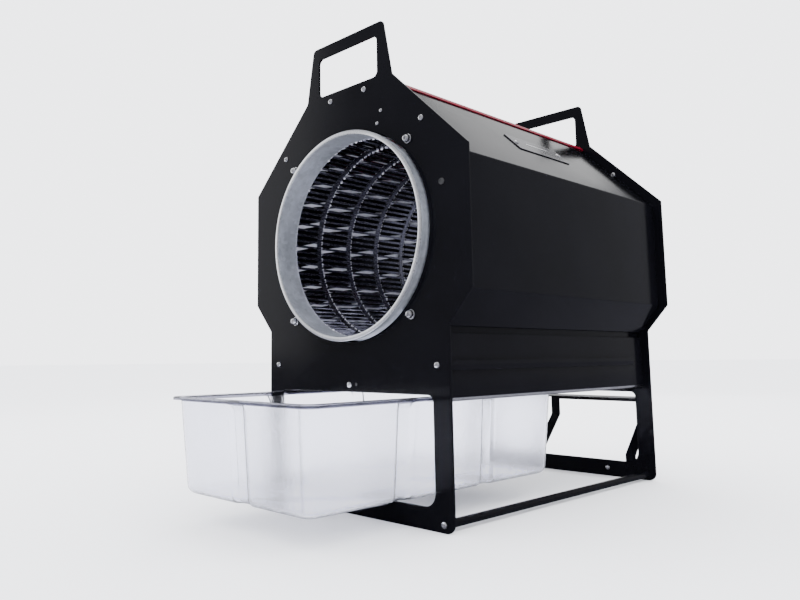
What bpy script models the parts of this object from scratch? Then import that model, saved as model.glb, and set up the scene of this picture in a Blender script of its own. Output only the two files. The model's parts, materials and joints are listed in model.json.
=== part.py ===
"""A bench-top rotary drum tumbler: a slotted drum on eight rollers between two steel end plates,
under a folded housing, with a clear tray that slides out below.

The machine's own frame has X across, Y from the front plate's outer face to the back, and Z up
from the feet. An empty moves it so that the world origin is the middle of its footprint."""

import math

import bmesh
import bpy

# ---- Driving dimensions, in metres -------------------------------------------------------------
GAP = 0.0003  # left between meshes that touch

# End plates
PLATE_PITCH = 0.608  # front face to front face
PLATE_THICK = 0.004
BODY_MARGIN = 0.073  # out past the drum's rim
TOP_MARGIN = 0.075  # up from the drum's rim to the shoulders' top
SHOULDER_RISE = 0.103  # above the drum's axis
WAIST_DROP = 0.099  # below the drum's axis
KNEE_DROP = 0.147
LEG_HALF_WIDTH = 0.200
LEG_WIDTH = 0.032
BASE_BAR_HEIGHT = 0.031
FRONT_WINDOW_TOP = 0.184
REAR_WINDOW_TOP = 0.166
WINDOW_FLOOR_RADIUS = 0.020
WINDOW_ROOF_RADIUS = 0.010
FOOT_RADIUS = 0.014
HANDLE_HEIGHT = 0.092  # above the shoulders
HANDLE_TOP_HALF = 0.082
HANDLE_BASE_HALF = 0.099
HANDLE_CORNER = 0.008
HANDLE_BASE_CORNER = 0.006
GRIP_HEIGHT = 0.021
GRIP_SIDE = 0.0135  # in from the handle's top corner to the hole
GRIP_SILL = 0.004  # shoulders' top to the hole
GRIP_HOLE_RADIUS = 0.009

# Drum
DRUM_Z = 0.430
DRUM_INNER = 0.162
SCREEN_WALL = 0.0015
COLLAR_WALL = 0.0035
COLLAR_REACH = 0.0166  # out past the plate's outer face
COLLAR_DEPTH = 0.025  # in past the plate's outer face
RIM_STEP = 0.0025  # out past the collar
RIM_LIP = 0.001  # in past the collar
RIM_WIDTH = 0.006
PLATE_HOLE_CLEARANCE = 0.0012  # round the rim
CAGE_WALL = 0.0025
CAGE_END_GAP = 0.006
DRUM_SIDES = 48
SLOT_COLUMNS = 4
SCREEN_SLOTS = 16
CAGE_WINDOWS = 12
BAND_WIDTH = 0.009

# Rollers that carry the drum
ROLLER_RADIUS = 0.0195
ROLLER_WIDTH = 0.016
ROLLER_ANGLES = (45.0, 135.0, 225.0, 315.0)
ROLLER_EDGE = 0.001
AXLE_RADIUS = 0.004
AXLE_CLEARANCE = 0.0004
AXLE_HEAD_RADIUS = 0.0062
AXLE_HEAD_HEIGHT = 0.007
WASHER_RADIUS = 0.0072
WASHER_THICK = 0.0018
SIDE_PLAY = 0.003
AXLE_NUT_LENGTH = 0.005

# Housing
SHEET = 0.0015
HOUSING_INSET = 0.016
RIDGE_DROP = 0.002  # below the shoulders' top
LID_THICK = 0.0025
LID_LIP = 0.006
HOUSING_FOOT_DROP = 0.002  # below the knee
HOUSING_FOOT_INSET = 0.010  # in from the leg's outer edge
SKIRT_INSET = 0.014  # in from the leg's outer edge
SKIRT_SLOT = 0.010  # below the housing
SKIRT_STEP = 0.006  # its top steps in behind the housing
SKIRT_OVERLAP = 0.018
SKIRT_COVER = 0.0015  # down past the tray's rim
SIDE_RAIL_DROP = 0.045  # below the skirt's top
SIDE_RAIL_HEIGHT = 0.0145
SIDE_RAIL_DEPTH = 0.008
SIDE_RAIL_SHORT = 0.0515  # it ends this far before the rear plate
NAME_PLATE_LENGTH = 0.160
NAME_PLATE_WIDTH = 0.048
NAME_PLATE_THICK = 0.0015
NAME_PLATE_Y = 0.325
NAME_PLATE_DROP = 0.100  # down the slope from the ridge to its middle
NAME_PLATE_CORNER = 0.004
NAME_SCREW_INSET = 0.014

# Tray and its rails
TRAY_END_GAP = 0.032  # length that it leaves free between the plates
TRAY_SIDE_GAP = 0.007  # to the window's side
TRAY_TOP_GAP = 0.0025  # to the window's top
TRAY_FLOOR_GAP = 0.009  # above the base bar
TRAY_WALL = 0.003
TRAY_FLANGE = 0.012  # rim's edge to the wall's inner face
TRAY_LIP = 0.0045
TRAY_TAPER = 0.010
TRAY_CORNER = 0.022
TRAY_FLOOR_RADIUS = 0.008
TRAY_OUT = 0.226  # how far it stands out in front
GROOVE_WIDTH = 0.040
GROOVE_DEPTH = 0.007
TRAY_RAIL_THICK = 0.002
TRAY_RAIL_HEIGHT = 0.034
TRAY_RAIL_BITE = 0.0065  # overlap with the tray's flange

# Foot tubes, shelf
FOOT_TUBE_INSET = 0.017  # in from the leg's outer edge
FOOT_TUBE_Z = 0.011
FOOT_TUBE_RADIUS = 0.006
SHELF_MIDDLE = 0.0505
SHELF_LENGTH = 0.219
SHELF_DEPTH = 0.070
SHELF_DROP = 0.013  # below the rear window's top
SHELF_LIP = 0.011
SHELF_THICK = 0.002
STRAP_WIDTH = 0.020
STRAP_UPRIGHT = 0.042
STRAP_LAND = 0.0125  # where it turns down to its foot, above the base bar
STRAP_FOOT_WIDTH = 0.065
STRAP_FOOT_LOW = 0.006
STRAP_FOOT_HIGH = 0.028
STRAP_SCREW_OUT = 0.056  # from the foot's screw to the strap's right edge
STRAP_SCREW_Z = 0.016

# Drive
DRIVE_WHEEL_RADIUS = 0.018
DRIVE_WHEEL_WIDTH = 0.014
TYRE_THICK = 0.004
DRIVE_NOSE_RADIUS = 0.0072
DRIVE_NOSE_LENGTH = 0.004
DRIVE_SHAFT_RADIUS = 0.004
SHAFT_HOLE_RADIUS = 0.006
COVER_HALF_WIDTH = 0.065
COVER_DEPTH = 0.100
COVER_FOOT_GAP = 0.0025  # above the rear rim
COVER_HEIGHT = 0.0685
GEARBOX_HALF = 0.022
GEARBOX_HEIGHT = 0.042
GEARBOX_DEPTH = 0.028
GEARBOX_DROP = 0.010  # below the drive shaft's axis
MOTOR_RADIUS = 0.019
MOTOR_LENGTH = 0.056
CONTROL_SPACING = 0.040
SWITCH_SIZE = (0.013, 0.019)
SWITCH_DEPTH = 0.005
SWITCH_STAND = 0.0015  # off the cover, so that it can rock
KNOB_RADIUS = 0.011
KNOB_LENGTH = 0.014
KNOB_GRIP_RADIUS = 0.0095
KNOB_FLANGE = 0.002
INLET_SIZE = (0.028, 0.022)
INLET_DEPTH = 0.004

# Screws
EDGE = 0.001  # small bevels and the rim's rounded edges
SCREW_HEAD_RADIUS = 0.0048
SCREW_HEAD_HEIGHT = 0.0026
SCREW_SHANK_RADIUS = 0.0025
SCREW_SHANK_LENGTH = 0.0036  # ends inside the plate
SCREW_CLEARANCE = 0.0004
LID_SCREW_X = 0.0395
LID_SCREW_DROP = 0.010  # below the shoulders' top
ROOF_SCREW_OUT = 0.0372  # out past the roller's axle
RAIL_SCREW_IN = 0.0075  # in from the skirt's inner face
MIDDLE_SCREW_RISE = 0.011  # above the front window
PLUG_IN = 0.048  # in from the plate's side
PLUG_RISE = 0.055  # above the drum's axis
PLUG_RADIUS = 0.0050
PLUG_HEIGHT = 0.0016

# ---- Worked out from them ----------------------------------------------------------------------
PLATE_FACES = {"front": 0.0, "rear": PLATE_PITCH}
INSIDE_FRONT = PLATE_THICK + GAP
INSIDE_REAR = PLATE_PITCH - GAP
BACK_FACE = PLATE_PITCH + PLATE_THICK
GRIP_HOLE_HALF = HANDLE_TOP_HALF - GRIP_SIDE
GRIP_HOLE_HEIGHT = HANDLE_HEIGHT - GRIP_HEIGHT - GRIP_SILL
COLLAR_OUTER = DRUM_INNER + COLLAR_WALL
RIM_OUTER = COLLAR_OUTER + RIM_STEP
RIM_INNER = DRUM_INNER - RIM_LIP
PLATE_HOLE = RIM_OUTER + PLATE_HOLE_CLEARANCE
ROLLER_ORBIT = COLLAR_OUTER + GAP + ROLLER_RADIUS
BODY_HALF_WIDTH = RIM_OUTER + BODY_MARGIN
SHOULDER_TOP_Z = DRUM_Z + RIM_OUTER + TOP_MARGIN
SHOULDER_Z = DRUM_Z + SHOULDER_RISE
WAIST_Z = DRUM_Z - WAIST_DROP
KNEE_Z = DRUM_Z - KNEE_DROP
SLOPE = math.atan2(SHOULDER_TOP_Z - SHOULDER_Z, BODY_HALF_WIDTH - HANDLE_BASE_HALF)
HOUSING_HALF = BODY_HALF_WIDTH - HOUSING_INSET
HOUSING_SHOULDER_Z = SHOULDER_Z - HOUSING_INSET * math.tan((math.pi / 2 - SLOPE) / 2)
RIDGE_Z = SHOULDER_TOP_Z - RIDGE_DROP
RIDGE_HALF = HOUSING_HALF - (RIDGE_Z - HOUSING_SHOULDER_Z) / math.tan(SLOPE)
HOUSING_FOOT_Z = KNEE_Z - HOUSING_FOOT_DROP
HOUSING_FOOT_HALF = LEG_HALF_WIDTH - HOUSING_FOOT_INSET
TRAY_LENGTH = PLATE_PITCH - TRAY_END_GAP
TRAY_HALF_WIDTH = LEG_HALF_WIDTH - LEG_WIDTH - TRAY_SIDE_GAP
TRAY_RIM_Z = FRONT_WINDOW_TOP - TRAY_TOP_GAP
TRAY_DEPTH = TRAY_RIM_Z - BASE_BAR_HEIGHT - TRAY_FLOOR_GAP
SKIRT_HALF = LEG_HALF_WIDTH - SKIRT_INSET
SKIRT_TOP_Z = HOUSING_FOOT_Z - SKIRT_SLOT
SKIRT_BOTTOM_Z = TRAY_RIM_Z - SKIRT_COVER
SIDE_RAIL_Z = SKIRT_TOP_Z - SIDE_RAIL_DROP
FOOT_TUBE_HALF = LEG_HALF_WIDTH - FOOT_TUBE_INSET
SHELF_Z = REAR_WINDOW_TOP - SHELF_DROP
DRIVE_Z = DRUM_Z + COLLAR_OUTER + GAP + DRIVE_WHEEL_RADIUS
COVER_FOOT_Z = DRUM_Z + RIM_OUTER + COVER_FOOT_GAP
COVER_ROOF_Z = COVER_FOOT_Z + COVER_HEIGHT
COVER_BACK = BACK_FACE + GAP + COVER_DEPTH
CONTROL_Z = (COVER_FOOT_Z + COVER_ROOF_Z) / 2
REAR_REACH = COVER_BACK + GAP + KNOB_LENGTH
CENTRE_Y = (REAR_REACH - TRAY_OUT) / 2

BLACK_STEEL = ("black_steel", (0.012, 0.012, 0.015), 0.38, 0.0)
RED_STEEL = ("red_steel", (0.55, 0.012, 0.045), 0.35, 0.0)
ZINC = ("zinc", (0.50, 0.53, 0.58), 0.42, 1.0)
STAINLESS = ("stainless", (0.62, 0.62, 0.64), 0.25, 1.0)
NYLON = ("nylon", (0.75, 0.75, 0.72), 0.45, 0.0)
RUBBER = ("rubber", (0.02, 0.02, 0.02), 0.80, 0.0)
CLEAR = ("clear_plastic", (0.80, 0.82, 0.90), 0.10, 0.0)
BLACK_PLASTIC = ("black_plastic", (0.02, 0.02, 0.022), 0.45, 0.0)


# ---- Scene and finishes ------------------------------------------------------------------------
def clear_scene():
    for obj in list(bpy.data.objects):
        bpy.data.objects.remove(obj, do_unlink=True)


def collection(name):
    made = bpy.data.collections.new(name)
    bpy.context.scene.collection.children.link(made)
    return made


def finish(kind):
    """The shared Principled material of one finish."""
    name, colour, roughness, metallic = kind
    found = bpy.data.materials.get(name)
    if found:
        return found
    made = bpy.data.materials.new(name)
    made.use_nodes = True
    shader = made.node_tree.nodes["Principled BSDF"]
    shader.inputs["Base Color"].default_value = (*colour, 1.0)
    shader.inputs["Roughness"].default_value = roughness
    shader.inputs["Metallic"].default_value = metallic
    return made


def place(name, data, kind, location=(0, 0, 0), rotation=(0, 0, 0), parent=None):
    """Adds data as one sub-part of the machine."""
    obj = bpy.data.objects.new(name, data)
    data.materials.append(finish(kind))
    obj.location = location
    obj.rotation_euler = rotation
    obj.parent = parent or MACHINE
    PARTS.objects.link(obj)
    return obj


def axis_empty(name, location):
    """An empty on a joint's axis, for the pieces that turn or slide about it."""
    empty = bpy.data.objects.new(name, None)
    empty.location = location
    empty.parent = MACHINE
    PARTS.objects.link(empty)
    return empty


# ---- Shape makers ------------------------------------------------------------------------------
def arc(cx, cy, radius, start, end, steps):
    """Points from angle start to angle end, in degrees."""
    angles = [math.radians(start + (end - start) * i / steps) for i in range(steps + 1)]
    return [(cx + radius * math.cos(a), cy + radius * math.sin(a)) for a in angles]


def rounded(corners, steps=4):
    """A closed outline through (x, y, radius) corners, with each radius as an arc."""
    points = []
    for i, (x, y, radius) in enumerate(corners):
        before = corners[i - 1]
        after = corners[(i + 1) % len(corners)]
        if radius == 0:
            points.append((x, y))
            continue
        u = unit(before[0] - x, before[1] - y)
        v = unit(after[0] - x, after[1] - y)
        half = math.acos(max(-1.0, min(1.0, u[0] * v[0] + u[1] * v[1]))) / 2
        reach = radius / math.tan(half)
        toward = unit(u[0] + v[0], u[1] + v[1])
        away = radius / math.sin(half)
        cx, cy = x + toward[0] * away, y + toward[1] * away
        first = math.atan2(y + u[1] * reach - cy, x + u[0] * reach - cx)
        last = math.atan2(y + v[1] * reach - cy, x + v[0] * reach - cx)
        turn = (last - first + math.pi) % (2 * math.pi) - math.pi
        for k in range(steps + 1):
            angle = first + turn * k / steps
            points.append((cx + radius * math.cos(angle), cy + radius * math.sin(angle)))
    return points


def unit(x, y):
    length = math.hypot(x, y)
    return x / length, y / length


def circle(cx, cy, radius, sides):
    return arc(cx, cy, radius, 0, 360 * (sides - 1) / sides, sides - 1)


def flat_curve(name, loops, thick):
    """A flat sheet, thick in its local Z, bounded by the first loop and pierced by the others."""
    curve = bpy.data.curves.new(name, "CURVE")
    curve.dimensions = "2D"
    curve.fill_mode = "BOTH"
    curve.extrude = thick / 2
    for loop in loops:
        spline = curve.splines.new("POLY")
        spline.points.add(len(loop) - 1)
        for point, (x, y) in zip(spline.points, loop):
            point.co = (x, y, 0, 1)
        spline.use_cyclic_u = True
    return curve


def standing_sheet(name, loops, thick, front_y, kind):
    """A sheet in the XZ plane whose front face is at front_y."""
    curve = flat_curve(name, loops, thick)
    return place(name, curve, kind, (0, front_y + thick / 2, 0), (math.pi / 2, 0, 0))


def turned(name, profile, steps, kind, location, parent=None, closed=False, flip=False):
    """A turned piece along Y, from (radius, y) points that run down its outer side from +Z."""
    mesh = bpy.data.meshes.new(name)
    points = [(radius, 0, along) for radius, along in profile]
    edges = [(i, i + 1) for i in range(len(points) - 1)]
    if closed:
        edges.append((len(points) - 1, 0))
    mesh.from_pydata(points, edges, [])
    turn = math.pi / 2 if flip else -math.pi / 2
    obj = place(name, mesh, kind, location, (turn, 0, 0), parent)
    screw = obj.modifiers.new("turn", "SCREW")
    screw.axis = "Z"
    screw.angle = 2 * math.pi
    screw.steps = steps
    screw.render_steps = steps
    screw.use_merge_vertices = True
    screw.merge_threshold = 0.00005
    screw.use_smooth_shade = False
    return obj


def block(name, low, high, kind, parent=None, bevel=0.0):
    """A rectangular block between two corners."""
    shape = bmesh.new()
    bmesh.ops.create_cube(shape, size=1.0)
    size = [b - a for a, b in zip(low, high)]
    bmesh.ops.scale(shape, vec=size, verts=shape.verts)
    mesh = bpy.data.meshes.new(name)
    shape.to_mesh(mesh)
    shape.free()
    base = parent.location if parent else (0, 0, 0)
    centre = [(a + b) / 2 - c for a, b, c in zip(low, high, base)]
    obj = place(name, mesh, kind, centre, parent=parent)
    if bevel:
        edge = obj.modifiers.new("edges", "BEVEL")
        edge.width = bevel
        edge.segments = 2
    return obj


def thickened(name, shape, thick, kind):
    """A sheet made from an open surface, with its thickness behind the surface's faces."""
    mesh = bpy.data.meshes.new(name)
    shape.to_mesh(mesh)
    shape.free()
    obj = place(name, mesh, kind)
    wall = obj.modifiers.new("thickness", "SOLIDIFY")
    wall.thickness = thick
    wall.offset = -1
    wall.use_even_offset = True
    return obj


def folded_sheet(name, profile, front_y, rear_y, thick, kind):
    """A folded sheet along Y: an open (x, z) profile, with its thickness on the left of its run."""
    shape = bmesh.new()
    near = [shape.verts.new((x, front_y, z)) for x, z in profile]
    far = [shape.verts.new((x, rear_y, z)) for x, z in profile]
    for i in range(len(profile) - 1):
        shape.faces.new((near[i], near[i + 1], far[i + 1], far[i]))
    return thickened(name, shape, thick, kind)


def both_sides(profile):
    """The right-hand profile and its mirror image, which runs the other way."""
    return {"right": profile, "left": [(-x, z) for x, z in reversed(profile)]}


# ---- End plates --------------------------------------------------------------------------------
def plate_outline():
    """The right half of an end plate from the handle down to the floor, then its mirror image."""
    top = SHOULDER_TOP_Z + HANDLE_HEIGHT
    right = [
        (HANDLE_TOP_HALF, top, HANDLE_CORNER),
        (HANDLE_BASE_HALF, SHOULDER_TOP_Z, HANDLE_BASE_CORNER),
        (BODY_HALF_WIDTH, SHOULDER_Z, 0),
        (BODY_HALF_WIDTH, WAIST_Z, 0),
        (LEG_HALF_WIDTH, KNEE_Z, 0),
        (LEG_HALF_WIDTH, 0, FOOT_RADIUS),
    ]
    return rounded(right + [(-x, z, r) for x, z, r in reversed(right)], 3)


def window_outline(top):
    half = LEG_HALF_WIDTH - LEG_WIDTH
    low = BASE_BAR_HEIGHT
    return rounded(
        [
            (half, top, WINDOW_ROOF_RADIUS),
            (half, low, WINDOW_FLOOR_RADIUS),
            (-half, low, WINDOW_FLOOR_RADIUS),
            (-half, top, WINDOW_ROOF_RADIUS),
        ]
    )


def grip_outline():
    top = SHOULDER_TOP_Z + HANDLE_HEIGHT - GRIP_HEIGHT
    low = top - GRIP_HOLE_HEIGHT
    half = GRIP_HOLE_HALF
    corners = ((half, top), (half, low), (-half, low), (-half, top))
    return rounded([(x, z, GRIP_HOLE_RADIUS) for x, z in corners], 3)


def roller_spots():
    """The (x, z) of the four roller axles of a plate."""
    spots = []
    for angle in ROLLER_ANGLES:
        turn = math.radians(angle)
        spots.append((ROLLER_ORBIT * math.cos(turn), DRUM_Z + ROLLER_ORBIT * math.sin(turn)))
    return spots


def screw_spots():
    """The (x, z) of the front plate's screws, by name: a pair of each, and one in the middle."""
    roof = (ROLLER_ORBIT + ROOF_SCREW_OUT) * math.cos(math.radians(ROLLER_ANGLES[0]))
    pairs = {
        "lid_screw": (LID_SCREW_X, SHOULDER_TOP_Z - LID_SCREW_DROP),
        "roof_screw": (roof, DRUM_Z + roof),
        "rail_screw": (SKIRT_HALF - SHEET - RAIL_SCREW_IN, SIDE_RAIL_Z),
        "foot_screw": (FOOT_TUBE_HALF, FOOT_TUBE_Z),
    }
    spots = {"middle_screw": (0, FRONT_WINDOW_TOP + MIDDLE_SCREW_RISE)}
    for name, (x, z) in pairs.items():
        spots[f"{name}_right"] = (x, z)
        spots[f"{name}_left"] = (-x, z)
    return spots


def end_plates():
    axle_holes = [circle(x, z, AXLE_RADIUS + AXLE_CLEARANCE, 10) for x, z in roller_spots()]
    drum_hole = circle(0, DRUM_Z, PLATE_HOLE, DRUM_SIDES)
    hole = SCREW_SHANK_RADIUS + SCREW_CLEARANCE
    screw_holes = [circle(x, z, hole, 8) for x, z in screw_spots().values()]
    common = [plate_outline(), grip_outline(), drum_hole] + axle_holes
    front = common + screw_holes + [window_outline(FRONT_WINDOW_TOP)]
    rear = common + [window_outline(REAR_WINDOW_TOP), circle(0, DRIVE_Z, SHAFT_HOLE_RADIUS, 10)]
    standing_sheet("front_end_plate", front, PLATE_THICK, PLATE_FACES["front"], BLACK_STEEL)
    standing_sheet("rear_end_plate", rear, PLATE_THICK, PLATE_FACES["rear"], BLACK_STEEL)


def dome(radius, height, seat=0.0):
    """A round head from its crown out to its edge, standing on seat."""
    turns = (0, math.radians(50), math.radians(90))
    return [(radius * math.sin(turn), seat + height * math.cos(turn)) for turn in turns]


def front_screws():
    """Round-head screws in the front plate, and a plug in a spare hole's place."""
    length = SCREW_SHANK_LENGTH
    shank = [(SCREW_SHANK_RADIUS, 0), (SCREW_SHANK_RADIUS, -length), (0, -length)]
    profile = dome(SCREW_HEAD_RADIUS, SCREW_HEAD_HEIGHT) + shank
    for name, (x, z) in screw_spots().items():
        turned(name, profile, 8, STAINLESS, (x, -GAP, z), flip=True)
    plug = dome(PLUG_RADIUS, PLUG_HEIGHT) + [(0, 0)]
    spot = (BODY_HALF_WIDTH - PLUG_IN, -GAP, DRUM_Z + PLUG_RISE)
    turned("side_plug", plug, 10, BLACK_PLASTIC, spot, flip=True)


# ---- Housing -----------------------------------------------------------------------------------
def housing():
    profile = [
        (RIDGE_HALF, RIDGE_Z),
        (HOUSING_HALF, HOUSING_SHOULDER_Z),
        (HOUSING_HALF, WAIST_Z),
        (HOUSING_FOOT_HALF, HOUSING_FOOT_Z),
    ]
    for side, points in both_sides(profile).items():
        folded_sheet(f"{side}_housing_panel", points, INSIDE_FRONT, INSIDE_REAR, SHEET, BLACK_STEEL)
    lid()


def lid():
    """A flat lid whose edges fold down over the ridges."""
    drop = LID_LIP / math.tan(SLOPE)
    top = RIDGE_Z + LID_THICK + GAP
    edge = RIDGE_HALF + LID_THICK / 2
    profile = [(-edge - drop, top - LID_LIP), (-edge, top), (edge, top), (edge + drop, top - LID_LIP)]
    folded_sheet("top_lid", profile, INSIDE_FRONT, INSIDE_REAR, SHEET, RED_STEEL)


def skirts():
    """The skirts under the housing, whose tops step in and rise behind it, and a rail on each."""
    inner = SKIRT_HALF - SKIRT_STEP
    profile = [
        (inner, SKIRT_TOP_Z + SKIRT_OVERLAP),
        (inner, SKIRT_TOP_Z),
        (SKIRT_HALF, SKIRT_TOP_Z),
        (SKIRT_HALF, SKIRT_BOTTOM_Z),
    ]
    for side, points in both_sides(profile).items():
        folded_sheet(f"{side}_skirt", points, INSIDE_FRONT, INSIDE_REAR, SHEET, BLACK_STEEL)
    half = SIDE_RAIL_HEIGHT / 2
    inner = SKIRT_HALF + GAP
    outer = inner + SIDE_RAIL_DEPTH
    for side, sign in (("right", 1), ("left", -1)):
        low, high = sorted((sign * inner, sign * outer))
        block(
            f"{side}_side_rail",
            (low, INSIDE_FRONT, SIDE_RAIL_Z - half),
            (high, INSIDE_REAR - SIDE_RAIL_SHORT, SIDE_RAIL_Z + half),
            BLACK_STEEL,
            bevel=EDGE,
        )


def name_plate():
    """A plain plate on the right roof slope, held by a screw at each end."""
    down = RIDGE_HALF + NAME_PLATE_DROP * math.cos(SLOPE)
    height = RIDGE_Z - NAME_PLATE_DROP * math.sin(SLOPE)
    normal = (math.sin(SLOPE), math.cos(SLOPE))
    lift = GAP + NAME_PLATE_THICK / 2
    half_y = NAME_PLATE_LENGTH / 2
    half_x = NAME_PLATE_WIDTH / 2
    corners = ((half_x, half_y), (half_x, -half_y), (-half_x, -half_y), (-half_x, half_y))
    outline = rounded([(x, y, NAME_PLATE_CORNER) for x, y in corners], 2)
    curve = flat_curve("name_plate", [outline], NAME_PLATE_THICK)
    centre = (down + normal[0] * lift, NAME_PLATE_Y, height + normal[1] * lift)
    place("name_plate", curve, STAINLESS, centre, (0, SLOPE, 0))
    head = GAP + NAME_PLATE_THICK + GAP
    profile = dome(SCREW_HEAD_RADIUS, SCREW_HEAD_HEIGHT) + [(0, 0)]
    for end, sign in (("front", -1), ("rear", 1)):
        y = NAME_PLATE_Y + sign * (half_y - NAME_SCREW_INSET)
        spot = (down + normal[0] * head, y, height + normal[1] * head)
        screw = turned(f"name_plate_screw_{end}", profile, 8, STAINLESS, spot)
        screw.rotation_euler = (0, SLOPE, 0)


# ---- Tray --------------------------------------------------------------------------------------
def groove_points(centre, edge, inset, flare):
    """Four points of one groove as (along, across), across being the wall's distance out."""
    half = GROOVE_WIDTH / 2
    return [
        (centre - half, edge),
        (centre - half + flare, edge - inset),
        (centre + half - flare, edge - inset),
        (centre + half, edge),
    ]


def tray_loop(half_x, half_y, corner, inset):
    """One level of the tray, anticlockwise: two grooves on a long side and one on a short side."""
    flare = GROOVE_DEPTH * 0.8
    third = TRAY_LENGTH / 6
    loop = []
    for centre in (-third, third):
        loop += [(x, y) for y, x in groove_points(centre, half_x, inset, flare)]
    loop += arc(half_x - corner, half_y - corner, corner, 0, 90, 4)
    loop += [(-x, y) for x, y in groove_points(0, half_y, inset, flare)]
    loop += arc(corner - half_x, half_y - corner, corner, 90, 180, 4)
    for centre in (-third, third):
        loop += [(-x, -y) for y, x in groove_points(centre, half_x, inset, flare)]
    loop += arc(corner - half_x, corner - half_y, corner, 180, 270, 4)
    loop += [(x, -y) for x, y in groove_points(0, half_y, inset, flare)]
    loop += arc(half_x - corner, corner - half_y, corner, 270, 360, 4)
    return loop


def tray(slider):
    half_x = TRAY_HALF_WIDTH
    half_y = TRAY_LENGTH / 2
    depth = TRAY_DEPTH - TRAY_WALL
    fade = TRAY_FLANGE * 1.2
    levels = [
        (0, -TRAY_LIP, 0),
        (0, 0, 0),
        (TRAY_FLANGE, 0, 0),
        (TRAY_FLANGE + TRAY_TAPER * fade / depth, -fade, GROOVE_DEPTH),
        (TRAY_FLANGE + TRAY_TAPER, TRAY_FLOOR_RADIUS - depth, GROOVE_DEPTH),
        (TRAY_FLANGE + TRAY_TAPER + TRAY_FLOOR_RADIUS, -depth, GROOVE_DEPTH),
    ]
    shape = bmesh.new()
    rings = []
    for inward, z, inset in levels:
        corner = max(TRAY_CORNER - inward / 2, TRAY_CORNER / 2)
        loop = tray_loop(half_x - inward, half_y - inward, corner, inset)
        rings.append([shape.verts.new((x, y, z)) for x, y in loop])
    for upper, lower in zip(rings, rings[1:]):
        for i in range(len(upper)):
            j = (i + 1) % len(upper)
            shape.faces.new((upper[i], lower[i], lower[j], upper[j]))
    shape.faces.new(list(reversed(rings[-1])))
    mesh = bpy.data.meshes.new("tray")
    shape.to_mesh(mesh)
    shape.free()
    obj = place("tray", mesh, CLEAR, parent=slider)
    wall = obj.modifiers.new("thickness", "SOLIDIFY")
    wall.thickness = TRAY_WALL
    wall.offset = 1
    wall.use_even_offset = True


def tray_rails():
    """An angle inside each skirt, whose flange the tray's rim slides on."""
    top = TRAY_RIM_Z - TRAY_LIP - GAP
    inner = TRAY_HALF_WIDTH - TRAY_RAIL_BITE
    outer = SKIRT_HALF - SHEET - GAP
    shelf_z = top - TRAY_RAIL_THICK
    profile = [(outer, top + TRAY_RAIL_HEIGHT), (outer, shelf_z), (inner, shelf_z)]
    for side, points in both_sides(profile).items():
        folded_sheet(f"{side}_tray_rail", points, INSIDE_FRONT, INSIDE_REAR, TRAY_RAIL_THICK, STAINLESS)


# ---- Drum --------------------------------------------------------------------------------------
def collar_profile():
    """(radius, distance in from the outer end): the rim's bead, then the collar, then back inside."""
    end = COLLAR_REACH + COLLAR_DEPTH
    return [
        (RIM_OUTER - EDGE, 0),
        (RIM_OUTER, -EDGE),
        (RIM_OUTER, EDGE - RIM_WIDTH),
        (RIM_OUTER - EDGE, -RIM_WIDTH),
        (COLLAR_OUTER, -RIM_WIDTH),
        (COLLAR_OUTER, -end),
        (DRUM_INNER, -end),
        (DRUM_INNER, -RIM_WIDTH),
        (RIM_INNER, -RIM_WIDTH),
        (RIM_INNER, -EDGE),
        (RIM_INNER + EDGE, 0),
    ]


def lattice(name, radius, wall, front_y, rear_y, windows, bar_sides, kind, parent):
    """A tube pierced by rows of windows, bar_sides of its sides being left between two windows."""
    pitch = (rear_y - front_y - BAND_WIDTH) / SLOT_COLUMNS
    levels = []
    for column in range(SLOT_COLUMNS):
        start = front_y + column * pitch
        levels += [start, start + BAND_WIDTH]
    levels += [rear_y - BAND_WIDTH, rear_y]
    per_window = DRUM_SIDES // windows
    shape = bmesh.new()
    rings = []
    for y in levels:
        rings.append([shape.verts.new((x, y, z)) for x, z in circle(0, 0, radius, DRUM_SIDES)])
    for row in range(len(levels) - 1):
        for side in range(DRUM_SIDES):
            if row % 2 and side % per_window >= bar_sides:
                continue
            other = (side + 1) % DRUM_SIDES
            corners = (rings[row][side], rings[row + 1][side], rings[row + 1][other], rings[row][other])
            shape.faces.new(corners)
    mesh = bpy.data.meshes.new(name)
    shape.to_mesh(mesh)
    shape.free()
    obj = place(name, mesh, kind, parent=parent)
    sheet = obj.modifiers.new("thickness", "SOLIDIFY")
    sheet.thickness = wall
    sheet.offset = 1


def drum():
    spin = axis_empty("drum_axis", (0, 0, DRUM_Z))
    reach = COLLAR_REACH
    turned("front_collar", collar_profile(), DRUM_SIDES, ZINC, (0, -reach, 0), spin, closed=True, flip=True)
    rear_end = BACK_FACE + reach
    turned("rear_collar", collar_profile(), DRUM_SIDES, ZINC, (0, rear_end, 0), spin, closed=True)
    start = COLLAR_DEPTH + GAP
    end = BACK_FACE - COLLAR_DEPTH - GAP
    lattice("drum_screen", DRUM_INNER, SCREEN_WALL, start, end, SCREEN_SLOTS, 1, ZINC, spin)
    cage = DRUM_INNER + SCREEN_WALL + GAP
    cage_front = start + CAGE_END_GAP
    lattice("drum_cage", cage, CAGE_WALL, cage_front, end - CAGE_END_GAP, CAGE_WINDOWS, 1, STAINLESS, spin)


# ---- Rollers -----------------------------------------------------------------------------------
def roller_profile():
    """A plain wheel with a bore, as (radius, along) from one face to the other and back inside."""
    bore = AXLE_RADIUS + AXLE_CLEARANCE
    half = ROLLER_WIDTH / 2
    return [
        (ROLLER_RADIUS - ROLLER_EDGE, half),
        (ROLLER_RADIUS, half - ROLLER_EDGE),
        (ROLLER_RADIUS, ROLLER_EDGE - half),
        (ROLLER_RADIUS - ROLLER_EDGE, -half),
        (bore, -half),
        (bore, half),
    ]


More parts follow.
